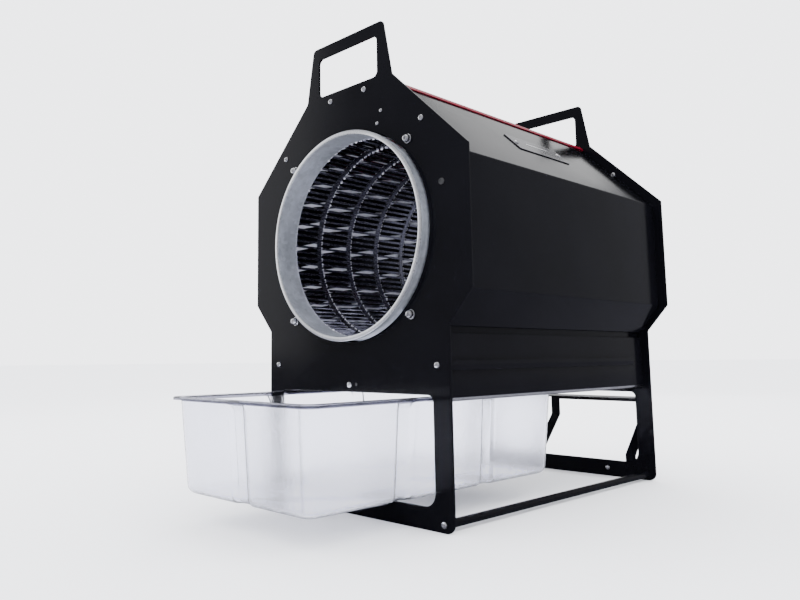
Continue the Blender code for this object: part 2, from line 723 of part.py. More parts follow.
def axle_profile():
    """A dome-head axle bolt from the top of its head to the nut at its inner end."""
    inner = PLATE_THICK + SIDE_PLAY + ROLLER_WIDTH + GAP
    end = inner + AXLE_NUT_LENGTH
    washer = GAP + WASHER_THICK
    return dome(AXLE_HEAD_RADIUS, AXLE_HEAD_HEIGHT, washer) + [
        (WASHER_RADIUS, washer),
        (WASHER_RADIUS, GAP),
        (AXLE_RADIUS, GAP),
        (AXLE_RADIUS, -inner),
        (AXLE_HEAD_RADIUS, -inner),
        (AXLE_HEAD_RADIUS, -end),
        (0, -end),
    ]


def rollers():
    middle = PLATE_THICK + SIDE_PLAY + ROLLER_WIDTH / 2
    for end in ("front", "rear"):
        face = 0.0 if end == "front" else BACK_FACE
        inward = 1 if end == "front" else -1
        for number, (x, z) in enumerate(roller_spots(), 1):
            spin = axis_empty(f"{end}_roller_{number}_axis", (x, face + inward * middle, z))
            turned(f"{end}_roller_{number}", roller_profile(), 16, NYLON, (0, 0, 0), spin, closed=True)
            flip = end == "front"
            turned(f"{end}_axle_{number}", axle_profile(), 10, STAINLESS, (x, face, z), flip=flip)


# ---- Foot tubes and shelf ----------------------------------------------------------------------
def foot_tubes():
    for side, sign in (("right", 1), ("left", -1)):
        name = f"{side}_foot_tube"
        curve = bpy.data.curves.new(name, "CURVE")
        curve.dimensions = "3D"
        curve.bevel_depth = FOOT_TUBE_RADIUS
        curve.bevel_resolution = 2
        curve.use_fill_caps = True
        spline = curve.splines.new("POLY")
        spline.points.add(1)
        for point, y in zip(spline.points, (INSIDE_FRONT, INSIDE_REAR)):
            point.co = (sign * FOOT_TUBE_HALF, y, FOOT_TUBE_Z, 1)
        place(name, curve, BLACK_STEEL)


def strap(name, left, path):
    """A band bent along a (y, z) path, whose last run is widened to the left as a foot."""
    shape = bmesh.new()
    right = left + STRAP_WIDTH
    edges = [[shape.verts.new((x, y, z)) for y, z in path] for x in (left, right)]
    for i in range(len(path) - 1):
        shape.faces.new((edges[0][i], edges[1][i], edges[1][i + 1], edges[0][i + 1]))
    wide = right - STRAP_FOOT_WIDTH
    toe = [shape.verts.new((wide, y, z)) for y, z in path[-2:]]
    shape.faces.new((toe[0], edges[0][-2], edges[0][-1], toe[1]))
    thickened(name, shape, SHELF_THICK, BLACK_STEEL)


def shelf():
    """A small lipped shelf behind the rear plate, on two bent straps screwed to the base bar."""
    front = BACK_FACE + GAP
    back = BACK_FACE + SHELF_DEPTH
    ends = (SHELF_MIDDLE - SHELF_LENGTH / 2, SHELF_MIDDLE + SHELF_LENGTH / 2)
    shape = bmesh.new()
    path = [(front, SHELF_Z), (back, SHELF_Z), (back, SHELF_Z - SHELF_LIP)]
    edges = [[shape.verts.new((x, y, z)) for y, z in path] for x in ends]
    for i in range(len(path) - 1):
        shape.faces.new((edges[0][i], edges[1][i], edges[1][i + 1], edges[0][i + 1]))
    thickened("rear_shelf", shape, SHELF_THICK, BLACK_STEEL)
    top = SHELF_Z - SHELF_THICK - GAP
    upright = back - SHELF_THICK - GAP
    foot = front + SHELF_THICK
    path = [
        (front, top),
        (upright, top),
        (upright, top - STRAP_UPRIGHT),
        (foot, BASE_BAR_HEIGHT + STRAP_LAND),
        (foot, STRAP_FOOT_HIGH),
        (foot, STRAP_FOOT_LOW),
    ]
    strap("left_shelf_strap", ends[0], path)
    strap("right_shelf_strap", ends[1] - STRAP_WIDTH, path)
    spot = (ends[1] - STRAP_SCREW_OUT, PLATE_PITCH - GAP, STRAP_SCREW_Z)
    head = dome(SCREW_HEAD_RADIUS, SCREW_HEAD_HEIGHT)
    turned("shelf_screw", head + [(0, 0)], 8, STAINLESS, spot, flip=True)


# ---- Drive -------------------------------------------------------------------------------------
def drive():
    back = BACK_FACE + GAP
    spin = axis_empty("drive_axis", (0, 0, DRIVE_Z))
    wheel_rear = PLATE_PITCH - SIDE_PLAY
    wheel_front = wheel_rear - DRIVE_WHEEL_WIDTH
    hub = DRIVE_WHEEL_RADIUS - TYRE_THICK - GAP
    length = DRIVE_WHEEL_WIDTH
    tyre = [
        (DRIVE_WHEEL_RADIUS, 0),
        (DRIVE_WHEEL_RADIUS, -length),
        (hub + GAP, -length),
        (hub + GAP, 0),
    ]
    turned("drive_tyre", tyre, 20, RUBBER, (0, wheel_rear, 0), spin, closed=True)
    wheel = [
        (0, 0),
        (hub, 0),
        (hub, -length),
        (DRIVE_NOSE_RADIUS, -length),
        (DRIVE_NOSE_RADIUS, -length - DRIVE_NOSE_LENGTH),
        (0, -length - DRIVE_NOSE_LENGTH),
    ]
    turned("drive_wheel", wheel, 16, BLACK_PLASTIC, (0, wheel_rear, 0), spin)
    shaft = back - GAP - (wheel_rear + GAP)
    rod = [(0, 0), (DRIVE_SHAFT_RADIUS, 0), (DRIVE_SHAFT_RADIUS, -shaft), (0, -shaft)]
    turned("drive_shaft", rod, 12, STAINLESS, (0, wheel_rear + GAP + shaft, 0), spin)
    gearbox_low = DRIVE_Z - GEARBOX_DROP
    block(
        "gearbox",
        (-GEARBOX_HALF, back, gearbox_low),
        (GEARBOX_HALF, back + GEARBOX_DEPTH, gearbox_low + GEARBOX_HEIGHT),
        ZINC,
        bevel=EDGE,
    )
    start = back + GEARBOX_DEPTH + GAP
    can = [(0, MOTOR_LENGTH), (MOTOR_RADIUS, MOTOR_LENGTH), (MOTOR_RADIUS, 0), (0, 0)]
    motor_z = gearbox_low + GEARBOX_HEIGHT / 2
    turned("drive_motor", can, 20, STAINLESS, (0, start, motor_z))
    drive_cover()


def drive_cover():
    """A box that is open against the rear plate, with the controls on its back."""
    low = (-COVER_HALF_WIDTH, BACK_FACE + GAP, COVER_FOOT_Z)
    high = (COVER_HALF_WIDTH, COVER_BACK, COVER_ROOF_Z)
    cover = block("drive_cover", low, high, BLACK_STEEL)
    shape = bmesh.new()
    shape.from_mesh(cover.data)
    front = [face for face in shape.faces if face.normal.y < -0.5]
    bmesh.ops.delete(shape, geom=front, context="FACES_ONLY")
    shape.to_mesh(cover.data)
    shape.free()
    wall = cover.modifiers.new("thickness", "SOLIDIFY")
    wall.thickness = SHEET
    wall.offset = -1
    wall.use_even_offset = True
    controls()


def controls():
    face = COVER_BACK + GAP
    wide, tall = SWITCH_SIZE
    pivot = axis_empty("switch_axis", (-CONTROL_SPACING, face, CONTROL_Z))
    block(
        "power_switch",
        (-CONTROL_SPACING - wide / 2, face + SWITCH_STAND, CONTROL_Z - tall / 2),
        (-CONTROL_SPACING + wide / 2, face + SWITCH_DEPTH, CONTROL_Z + tall / 2),
        BLACK_PLASTIC,
        parent=pivot,
        bevel=EDGE,
    )
    knob_axis = axis_empty("knob_axis", (0, face, CONTROL_Z))
    grip = KNOB_GRIP_RADIUS
    knob = [
        (0, KNOB_LENGTH),
        (grip - EDGE, KNOB_LENGTH),
        (grip, KNOB_LENGTH - EDGE),
        (grip, KNOB_FLANGE + EDGE),
        (KNOB_RADIUS, KNOB_FLANGE),
        (KNOB_RADIUS, 0),
        (0, 0),
    ]
    turned("speed_knob", knob, 20, BLACK_PLASTIC, (0, 0, 0), knob_axis)
    wide, tall = INLET_SIZE
    block(
        "power_inlet",
        (CONTROL_SPACING - wide / 2, face, CONTROL_Z - tall / 2),
        (CONTROL_SPACING + wide / 2, face + INLET_DEPTH, CONTROL_Z + tall / 2),
        BLACK_PLASTIC,
        bevel=EDGE,
    )


def main():
    end_plates()
    front_screws()
    housing()
    skirts()
    name_plate()
    tray_rails()
    slider = axis_empty("tray_slide", (0, TRAY_LENGTH / 2 - TRAY_OUT, TRAY_RIM_Z))
    tray(slider)
    drum()
    rollers()
    foot_tubes()
    shelf()
    drive()


clear_scene()
PARTS = collection("drum_tumbler")
MACHINE = bpy.data.objects.new("machine", None)
MACHINE.location = (0, -CENTRE_Y, 0)
PARTS.objects.link(MACHINE)
main()
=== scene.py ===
"""A bench-top drum tumbler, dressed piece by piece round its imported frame.

A slotted drum turns on eight rollers between two steel end plates, under a folded housing, and
what it sheds falls into a clear tray that slides out in front. Lengths are in metres: X runs
across, Y from the open end to the drive, and Z up."""

import json
import logging
import math
from collections.abc import Callable, Iterable, Sequence
from dataclasses import dataclass
from enum import Enum

import bmesh
import bpy
from mathutils import Matrix, Vector

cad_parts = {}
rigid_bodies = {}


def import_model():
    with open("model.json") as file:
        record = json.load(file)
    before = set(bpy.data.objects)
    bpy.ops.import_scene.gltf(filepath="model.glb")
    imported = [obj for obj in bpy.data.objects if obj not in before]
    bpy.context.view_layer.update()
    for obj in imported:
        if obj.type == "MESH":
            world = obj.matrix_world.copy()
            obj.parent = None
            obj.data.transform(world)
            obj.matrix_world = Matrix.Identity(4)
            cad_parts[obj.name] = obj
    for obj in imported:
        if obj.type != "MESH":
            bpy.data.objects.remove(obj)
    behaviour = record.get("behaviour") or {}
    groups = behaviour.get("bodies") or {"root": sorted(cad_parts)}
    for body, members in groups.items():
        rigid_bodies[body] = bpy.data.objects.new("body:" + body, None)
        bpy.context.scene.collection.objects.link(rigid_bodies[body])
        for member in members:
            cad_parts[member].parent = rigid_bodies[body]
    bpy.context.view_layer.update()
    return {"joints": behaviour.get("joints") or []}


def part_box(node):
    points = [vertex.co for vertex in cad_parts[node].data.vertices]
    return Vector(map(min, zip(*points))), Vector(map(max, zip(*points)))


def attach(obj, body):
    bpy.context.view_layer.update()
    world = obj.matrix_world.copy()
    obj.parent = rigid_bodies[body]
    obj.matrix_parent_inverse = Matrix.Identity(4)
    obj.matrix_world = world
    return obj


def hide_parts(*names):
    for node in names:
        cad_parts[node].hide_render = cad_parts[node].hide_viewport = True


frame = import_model()

Point = tuple[float, float]
Corner = tuple[float, float, float]
Turns = tuple[float, float, float]
Panel = Callable[..., None]
Colour = tuple[float, float, float]
Socket = bpy.types.NodeSocket
Piece = bpy.types.Object
Ring = Sequence[bmesh.types.BMVert]

SMOOTH_ANGLE = math.radians(32)
PATTERN_LOW, PATTERN_HIGH = 0.3, 0.7
FORWARD, REARWARD = Vector((0, -1, 0)), Vector((0, 1, 0))


class Side(Enum):
    """The two sides of the machine, seen from the open end, and their signs in X."""

    LEFT = -1
    RIGHT = 1

    @property
    def word(self) -> str:
        """The side's word in node names."""
        return self.name.lower()


class End(Enum):
    """The two ends of the machine, and which way each faces in Y."""

    FRONT = -1
    REAR = 1

    @property
    def word(self) -> str:
        """The end's word in node names."""
        return self.name.lower()

    def face(self) -> float:
        """The Y of this end plate's outer face."""
        low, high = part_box(f"{self.word}_end_plate")
        return low.y if self is End.FRONT else high.y


# ---- Finishes ----------------------------------------------------------------------------------
class Wiring:
    """Lays and joins the shader nodes of one material."""

    def __init__(self, name: str) -> None:
        """Starts a material with a bare Principled shader.

        Args:
            name: The material's name.
        """
        self.material = bpy.data.materials.new(name)
        self.material.use_nodes = True
        self.tree = self.material.node_tree
        self.shader = self.tree.nodes["Principled BSDF"]

    def settle(self, **values: float | Colour) -> None:
        """Sets the shader's own sockets.

        Args:
            values: Socket names, with underscores for spaces, and their values.
        """
        for name, value in values.items():
            socket = self.shader.inputs[name.replace("_", " ")]
            socket.default_value = (*value, 1.0) if isinstance(value, tuple) else value

    def drive(self, name: str, source: Socket) -> None:
        """Joins a source to one of the shader's sockets."""
        self.tree.links.new(source, self.shader.inputs[name])

    def node(self, kind: str, feed: dict[str, Socket], **values: float | Colour) -> bpy.types.Node:
        """Adds one node.

        Args:
            kind: Its type, without the ShaderNode that starts each name.
            feed: The sources of its sockets.
            values: Socket names, with underscores for spaces, and their fixed values.

        Returns:
            The node.
        """
        made = self.tree.nodes.new("ShaderNode" + kind)
        for name, value in values.items():
            made.inputs[name.replace("_", " ")].default_value = value
        for name, source in feed.items():
            self.tree.links.new(source, made.inputs[name])
        return made

    def place(self, scale: Colour = (1, 1, 1)) -> Socket:
        """The piece's own coordinates, with the pattern that much finer along X, Y and Z."""
        source = self.node("TexCoord", {}).outputs["Object"]
        return self.node("Mapping", {"Vector": source}, Scale=scale).outputs["Vector"]

    def noise(self, place: Socket, scale: float, detail: float = 3.0) -> Socket:
        """Noise from 0 to 1, with that many features per metre and finer layers."""
        return self.node("TexNoise", {"Vector": place}, Scale=scale, Detail=detail).outputs["Fac"]

    def cells(self, place: Socket, scale: float) -> Socket:
        """Crystals, that many per metre, each of one random colour."""
        return self.node("TexVoronoi", {"Vector": place}, Scale=scale).outputs["Color"]

    def span(self, value: Socket, low: float, high: float) -> Socket:
        """Maps the middle of a pattern's range to low and high."""
        ends = {"From_Min": PATTERN_LOW, "From_Max": PATTERN_HIGH, "To_Min": low, "To_Max": high}
        return self.node("MapRange", {"Value": value}, **ends).outputs["Result"]

    def tint(self, value: Socket, dark: Colour, light: Colour) -> Socket:
        """A colour between two others.

        Args:
            value: The pattern, from 0 to 1.
            dark: The colour at the low end of the pattern's middle range.
            light: The colour at its high end.

        Returns:
            The colour's socket.
        """
        ramp = self.node("ValToRGB", {"Fac": value})
        first, last = ramp.color_ramp.elements
        first.position, first.color = PATTERN_LOW, (*dark, 1.0)
        last.position, last.color = PATTERN_HIGH, (*light, 1.0)
        return ramp.outputs["Color"]

    def emboss(self, height: Socket, depth: float, strength: float) -> None:
        """Gives the shader a bumped normal: the bump's depth is in metres."""
        bump = self.node("Bump", {"Height": height}, Distance=depth, Strength=strength)
        self.drive("Normal", bump.outputs["Normal"])


def mirrored_ray(tree: bpy.types.NodeTree) -> Socket:
    """A value of 1 where something is seen in a glossy reflection.

    Args:
        tree: The tree that it is added to.

    Returns:
        The value's socket.
    """
    paths = tree.nodes.new("ShaderNodeLightPath")
    both = tree.nodes.new("ShaderNodeMath")
    both.operation = "MULTIPLY"
    tree.links.new(paths.outputs["Is Glossy Ray"], both.inputs[0])
    tree.links.new(paths.outputs["Is Reflection Ray"], both.inputs[1])
    return both.outputs["Value"]


def shade(colour: Colour, amount: float) -> Colour:
    """The colour made lighter or darker.

    Args:
        colour: A linear colour.
        amount: What each channel is multiplied by.

    Returns:
        The new colour.
    """
    red, green, blue = colour
    return red * amount, green * amount, blue * amount


@dataclass(frozen=True)
class PowderCoat:
    """Baked satin paint on sheet steel, with a faint orange peel."""

    slot: str
    colour: Colour
    roughness: float
    peel: float = 900.0
    specular: float = 0.5

    def material(self) -> bpy.types.Material:
        """Wires the finish.

        Returns:
            The material.
        """
        wiring = Wiring(self.slot)
        place = wiring.place()
        cloud = wiring.noise(place, 9.0, 5.0)
        peel = wiring.noise(place, self.peel, 2.0)
        wiring.drive("Base Color", wiring.tint(cloud, shade(self.colour, 0.85), shade(self.colour, 1.2)))
        wiring.drive("Roughness", wiring.span(cloud, self.roughness - 0.03, self.roughness + 0.03))
        wiring.settle(Specular_IOR_Level=self.specular)
        wiring.emboss(peel, 0.00012, 0.25)
        return wiring.material


@dataclass(frozen=True)
class Galvanised:
    """Hot-dip zinc: soft clouds over small crystals."""

    slot: str
    colour: Colour
    roughness: float
    crystals: float = 170.0
    metallic: float = 0.7

    def material(self) -> bpy.types.Material:
        """Wires the finish.

        Returns:
            The material.
        """
        wiring = Wiring(self.slot)
        place = wiring.place()
        cloud = wiring.noise(place, 34.0, 4.0)
        crystal = wiring.cells(place, self.crystals)
        mottle = wiring.node("Mix", {"A": cloud, "B": crystal}, Factor=0.22).outputs["Result"]
        wiring.drive("Base Color", wiring.tint(mottle, shade(self.colour, 0.72), shade(self.colour, 1.2)))
        wiring.drive("Roughness", wiring.span(mottle, self.roughness - 0.08, self.roughness + 0.08))
        wiring.settle(Metallic=self.metallic)
        wiring.emboss(cloud, 0.0004, 0.15)
        return wiring.material


@dataclass(frozen=True)
class BrushedSteel:
    """Bare steel with fine brush lines along one axis."""

    slot: str
    colour: Colour
    roughness: float
    lines: tuple[float, float, float] = (1.0, 0.02, 1.0)
    fineness: float = 1400.0
    metallic: float = 1.0

    def material(self) -> bpy.types.Material:
        """Wires the finish.

        Returns:
            The material.
        """
        wiring = Wiring(self.slot)
        brush = wiring.noise(wiring.place(self.lines), self.fineness, 3.0)
        wear = wiring.noise(wiring.place(), 22.0, 4.0)
        wiring.drive("Base Color", wiring.tint(wear, shade(self.colour, 0.85), shade(self.colour, 1.12)))
        wiring.drive("Roughness", wiring.span(brush, self.roughness - 0.07, self.roughness + 0.09))
        wiring.settle(Metallic=self.metallic)
        wiring.emboss(brush, 0.00008, 0.3)
        return wiring.material


@dataclass(frozen=True)
class ClearPlastic:
    """Clear moulded plastic with slightly wavy, slightly scuffed walls."""

    slot: str
    colour: Colour
    roughness: float
    index: float = 1.49

    def material(self) -> bpy.types.Material:
        """Wires the finish.

        Returns:
            The material.
        """
        wiring = Wiring(self.slot)
        place = wiring.place()
        wave = wiring.noise(place, 26.0, 2.0)
        scuff = wiring.noise(place, 320.0, 4.0)
        wiring.drive("Roughness", wiring.span(scuff, self.roughness * 0.6, self.roughness * 1.5))
        wiring.drive("Base Color", wiring.tint(wave, self.colour, shade(self.colour, 1.03)))
        wiring.settle(Transmission_Weight=1.0, IOR=self.index)
        wiring.emboss(wave, 0.0012, 0.35)
        return wiring.material


@dataclass(frozen=True)
class MouldedPlastic:
    """Opaque moulded plastic or rubber with a fine spark-eroded grain."""

    slot: str
    colour: Colour
    roughness: float
    grain: float = 1600.0
    depth: float = 0.00015

    def material(self) -> bpy.types.Material:
        """Wires the finish.

        Returns:
            The material.
        """
        wiring = Wiring(self.slot)
        place = wiring.place()
        grain = wiring.noise(place, self.grain, 2.0)
        cloud = wiring.noise(place, 60.0, 3.0)
        wiring.drive("Base Color", wiring.tint(cloud, shade(self.colour, 0.88), shade(self.colour, 1.12)))
        wiring.drive("Roughness", wiring.span(grain, self.roughness - 0.06, self.roughness + 0.06))
        wiring.emboss(grain, self.depth, 0.4)
        return wiring.material


@dataclass(frozen=True)
class PaleFloor:
    """The studio's floor, which shows more dimly in reflections."""

    colour: Colour = (0.93, 0.935, 0.95)
    reflected: Colour = (0.10, 0.10, 0.115)

    def material(self) -> bpy.types.Material:
        """Wires the finish.

        Returns:
            The material.
        """
        wiring = Wiring("pale_floor")
        wiring.settle(Roughness=0.9, Specular_IOR_Level=0.1)
        pick = wiring.tree.nodes.new("ShaderNodeMix")
        pick.data_type = "RGBA"
        wiring.tree.links.new(mirrored_ray(wiring.tree), pick.inputs["Factor"])
        colours = [socket for socket in pick.inputs if socket.type == "RGBA"]
        colours[0].default_value = (*self.colour, 1.0)
        colours[1].default_value = (*self.reflected, 1.0)
        shown = next(socket for socket in pick.outputs if socket.type == "RGBA")
        wiring.drive("Base Color", shown)
        return wiring.material


BLACK = PowderCoat("black_steel", (0.0019, 0.0019, 0.0028), 0.14, specular=0.09)
RED = PowderCoat("red_steel", (0.13, 0.0012, 0.0110), 0.36, specular=0.20)
ZINC = Galvanised("zinc", (0.50, 0.53, 0.60), 0.38)
# Painted reflection: a lighter brushed copy of the zinc, put on the collars' outward-facing rim faces to look
# like the bright room mirrored there.
RIM_PAINTED_REFLECTION = BrushedSteel("zinc", (0.86, 0.87, 0.90), 0.30)
# Painted shade: a dark bluish copy of the zinc for the screen, standing in for the shade inside the enclosed
# drum.
SLATS_PAINTED_SHADE = BrushedSteel("zinc", (0.21, 0.21, 0.26), 0.22, (1.0, 0.05, 1.0))
# Painted highlight: a bright copy of the zinc for the slot ends, standing in for the glints they catch.
SLOT_ENDS_PAINTED_GLINT = BrushedSteel("zinc", (0.80, 0.80, 0.88), 0.30, metallic=0.3)
# Bright steel bars, partly painted highlight: a paler lilac, half-diffuse copy of the stainless makes them
# glow like the highlights they catch.
BARS_WITH_PAINTED_HIGHLIGHT = BrushedSteel("stainless", (0.84, 0.85, 0.96), 0.30, (1.0, 0.05, 1.0), metallic=0.35)
PLATE = PowderCoat("stainless", (0.010, 0.010, 0.013), 0.18, specular=0.16)
STAINLESS = BrushedSteel("stainless", (0.70, 0.70, 0.72), 0.20, (1.0, 1.0, 1.0))
NYLON = MouldedPlastic("nylon", (0.72, 0.72, 0.69), 0.45)
RUBBER = MouldedPlastic("rubber", (0.022, 0.022, 0.022), 0.80, 900.0, 0.0003)
CLEAR = ClearPlastic("clear_plastic", (0.90, 0.907, 0.975), 0.16)
# Painted shade: a dark copy of the clear plastic for the tray's lip, standing in for the dark edge that clear
# plastic shows.
CLEAR_EDGE_PAINTED_SHADE = ClearPlastic("clear_plastic", (0.20, 0.20, 0.25), 0.10)
BLACK_PLASTIC = MouldedPlastic("black_plastic", (0.018, 0.018, 0.020), 0.45)

Finish = PowderCoat | Galvanised | BrushedSteel | ClearPlastic | MouldedPlastic | PaleFloor
made_materials: dict[Finish, bpy.types.Material] = {}


def material_of(finish: Finish) -> bpy.types.Material:
    """The one material of a finish, made on first use."""
    if finish not in made_materials:
        made_materials[finish] = finish.material()
    return made_materials[finish]


# ---- Shapes ------------------------------------------------------------------------------------
def unit(x: float, y: float) -> Point:
    """The direction of a flat vector."""
    length = math.hypot(x, y)
    return x / length, y / length


def rounded(corners: Sequence[Corner], steps: int, cyclic: bool = True) -> list[Point]:
    """An outline whose corners are arcs.

    Args:
        corners: Each corner's x, y and radius.
        steps: How many chords an arc has.
        cyclic: Whether the last corner joins the first.

    Returns:
        The outline's points.
    """
    points: list[Point] = []
    for i, (x, y, radius) in enumerate(corners):
        ends = not cyclic and i in (0, len(corners) - 1)
        if radius == 0 or ends:
            points.append((x, y))
            continue
        before = corners[i - 1]
        after = corners[(i + 1) % len(corners)]
        u = unit(before[0] - x, before[1] - y)
        v = unit(after[0] - x, after[1] - y)
        half = math.acos(max(-1.0, min(1.0, u[0] * v[0] + u[1] * v[1]))) / 2
        reach = radius / math.tan(half)
        toward = unit(u[0] + v[0], u[1] + v[1])
        cx = x + toward[0] * radius / math.sin(half)
        cy = y + toward[1] * radius / math.sin(half)
        first = math.atan2(y + u[1] * reach - cy, x + u[0] * reach - cx)
        last = math.atan2(y + v[1] * reach - cy, x + v[0] * reach - cx)
        turn = (last - first + math.pi) % (2 * math.pi) - math.pi
        for k in range(steps + 1):
            angle = first + turn * k / steps
            points.append((cx + radius * math.cos(angle), cy + radius * math.sin(angle)))
    return points


def circle(cx: float, cy: float, radius: float, sides: int) -> list[Point]:
    """The points of a circle."""
    turns = [2 * math.pi * i / sides for i in range(sides)]
    return [(cx + radius * math.cos(turn), cy + radius * math.sin(turn)) for turn in turns]


def rectangle(half_x: float, half_y: float, radius: float, steps: int, middle: Point = (0, 0)) -> list[Point]:
    """A rectangle with round corners."""
    signs = ((1, 1), (1, -1), (-1, -1), (-1, 1))
    return rounded([(middle[0] + a * half_x, middle[1] + b * half_y, radius) for a, b in signs], steps)


def bridge(shape: bmesh.types.BMesh, one: Ring, two: Ring) -> None:
    """Adds the faces between two rings of vertices."""
    for k in range(len(one)):
        n = (k + 1) % len(one)
        shape.faces.new((one[k], two[k], two[n], one[n]))


def mirrored(points: Iterable[Point]) -> list[Point]:
    """The outline on the other side of x = 0, run the other way."""
    return [(-x, z) for x, z in reversed(list(points))]


def piece_of(name: str, shape: bmesh.types.BMesh, *finishes: Finish) -> Piece:
    """Turns a finished shape into a smooth-shaded piece.

    Args:
        name: The piece's name.
        shape: Its shape, which is freed.
        finishes: Its finishes, in the order of the faces' material numbers.

    Returns:
        The piece.
    """
    mesh = bpy.data.meshes.new(name)
    shape.to_mesh(mesh)
    shape.free()
    return piece_from_mesh(name, mesh, *finishes)


def piece_from_mesh(name: str, mesh: bpy.types.Mesh, *finishes: Finish) -> Piece:
    """Puts a mesh in the scene as a smooth-shaded piece in its finishes.

    Args:
        name: The piece's name.
        mesh: Its mesh.
        finishes: Its finishes, in the order of its slots.

    Returns:
        The piece.
    """
    for finish in finishes:
        mesh.materials.append(material_of(finish))
    mesh.shade_smooth()
    mesh.set_sharp_from_angle(angle=SMOOTH_ANGLE)
    piece = bpy.data.objects.new(name, mesh)
    bpy.context.scene.collection.objects.link(piece)
    return piece


def fit(piece: Piece, body: str, finish: Finish, *nodes: str) -> Piece:
    """Rides a piece on its body, in place of the nodes that it stands for.

    Args:
        piece: The piece, where it belongs.
        body: The body that it moves with.
        finish: Not used.
        nodes: The nodes that it replaces.

    Returns:
        The piece.
    """
    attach(piece, body)
    if nodes:
        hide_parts(*nodes)
    return piece


def thickened(name: str, shape: bmesh.types.BMesh, thick: float, *finishes: Finish) -> Piece:
    """Turns an open surface into a sheet, thickened on the side that it faces.

    Args:
        name: The piece's name.
        shape: The surface, which is freed.
        thick: The sheet's thickness.
        finishes: Its finishes.

    Returns:
        The piece.
    """
    surface = piece_of(name + "_surface", shape)
    sheet = surface.modifiers.new("sheet", "SOLIDIFY")
    sheet.thickness = thick
    sheet.offset = 1
    graph = bpy.context.evaluated_depsgraph_get()
    mesh = bpy.data.meshes.new_from_object(surface.evaluated_get(graph))
    bpy.data.objects.remove(surface)
    return piece_from_mesh(name, mesh, *finishes)


def cut_sheet(
    name: str, loops: Sequence[Sequence[Point]], thick: float, edge: float, stand: Matrix, finish: Finish
) -> Piece:
    """A flat sheet with holes and rounded edges.

    Args:
        name: The piece's name.
        loops: Its outline and its holes, in the sheet's own plane.
        thick: Its thickness.
        edge: The radius of its edges.
        stand: Where the middle of its thickness goes.
        finish: Its finish.

    Returns:
        The piece.
    """
    curve = bpy.data.curves.new(name, "CURVE")
    curve.dimensions = "2D"
    curve.fill_mode = "BOTH"
    curve.extrude = thick / 2 - edge
    curve.bevel_depth = edge
    curve.bevel_resolution = 2
    curve.offset = -edge
    for loop in loops:
        spline = curve.splines.new("POLY")
        spline.points.add(len(loop) - 1)
        for point, (x, y) in zip(spline.points, loop):
            point.co = (x, y, 0, 1)
        spline.use_cyclic_u = True
    maker = bpy.data.objects.new(name + "_curve", curve)
    bpy.context.scene.collection.objects.link(maker)
    graph = bpy.context.evaluated_depsgraph_get()
    mesh = bpy.data.meshes.new_from_object(maker.evaluated_get(graph))
    bpy.data.objects.remove(maker)
    mesh.name = name
    mesh.materials.clear()
    mesh.transform(stand)
    return piece_from_mesh(name, mesh, finish)


def upright(middle: Vector) -> Matrix:
    """Stands a flat shape up across the machine, with its middle there."""
    return Matrix.Translation(middle) @ Matrix.Rotation(math.pi / 2, 4, "X")


def turned(
    name: str,
    rings: Sequence[tuple[float, float]],
    steps: int,
    origin: Vector,
    axis: Vector,
    *finishes: Finish,
    hexagon: int = 0,
    closed: bool = False,
) -> Piece:
    """A turned piece.

    Args:
        name: The piece's name.
        rings: The radius and the distance along the axis of each ring, from the outer end inwards.
        steps: The sides of a ring.
        origin: Where distance 0 is.
        axis: The way that distances grow.
        finishes: Its finishes.
        hexagon: How many of the first rings are hexagons, as in a socket.
        closed: Whether the last ring joins the first.

    Returns:
        The piece.
    """
    shape = bmesh.new()
    made: list[list[bmesh.types.BMVert]] = []
    for number, (radius, along) in enumerate(rings):
        if radius == 0:
            made.append([shape.verts.new((0, 0, along))] * steps)
            continue
        ring = []
        for k in range(steps):
            angle = 2 * math.pi * k / steps
            reach = radius
            if number < hexagon:
                reach /= math.cos((angle % (math.pi / 3)) - math.pi / 6)
            ring.append(shape.verts.new((reach * math.cos(angle), reach * math.sin(angle), along)))
        made.append(ring)
    pairs = list(zip(made, made[1:]))
    if closed:
        pairs.append((made[-1], made[0]))
    for outer, inner in pairs:
        for k in range(steps):
            n = (k + 1) % steps
            corners = list(dict.fromkeys((outer[k], inner[k], inner[n], outer[n])))
            if len(corners) > 2:
                shape.faces.new(corners)
    bmesh.ops.recalc_face_normals(shape, faces=shape.faces)
    turn = Vector((0, 0, 1)).rotation_difference(axis).to_matrix().to_4x4()
    bmesh.ops.transform(shape, matrix=Matrix.Translation(origin) @ turn, verts=shape.verts)
    return piece_of(name, shape, *finishes)


def thicken(path: Sequence[Point], thick: float) -> list[Point]:
    """Gives a path a thickness, on the left of its run.

    Args:
        path: The path's points.
        thick: The thickness.

    Returns:
        The closed outline.
    """
    inner: list[Point] = []
    runs = [unit(after[0] - before[0], after[1] - before[1]) for before, after in zip(path, path[1:])]
    for i, (x, y) in enumerate(path):
        first, second = runs[max(i - 1, 0)], runs[min(i, len(runs) - 1)]
        normal = unit(-first[1] - second[1], first[0] + second[0])
        spread = thick / max(0.3, normal[0] * -first[1] + normal[1] * first[0])
        inner.append((x + normal[0] * spread, y + normal[1] * spread))
    return list(path) + inner[::-1]


def extruded(name: str, outline: Sequence[Point], front: float, rear: float, finish: Finish) -> Piece:
    """A bar of one outline, in X and Z, that runs along Y.

    Args:
        name: The piece's name.
        outline: Its closed outline.
        front: The Y where it starts.
        rear: The Y where it ends.
        finish: Its finish.

    Returns:
        The piece.
    """
    shape = bmesh.new()
    near = [shape.verts.new((x, front, z)) for x, z in outline]
    far = [shape.verts.new((x, rear, z)) for x, z in outline]
    bridge(shape, far, near)
    shape.faces.new(near[::-1])
    shape.faces.new(far)
    bmesh.ops.recalc_face_normals(shape, faces=shape.faces)
    return piece_of(name, shape, finish)


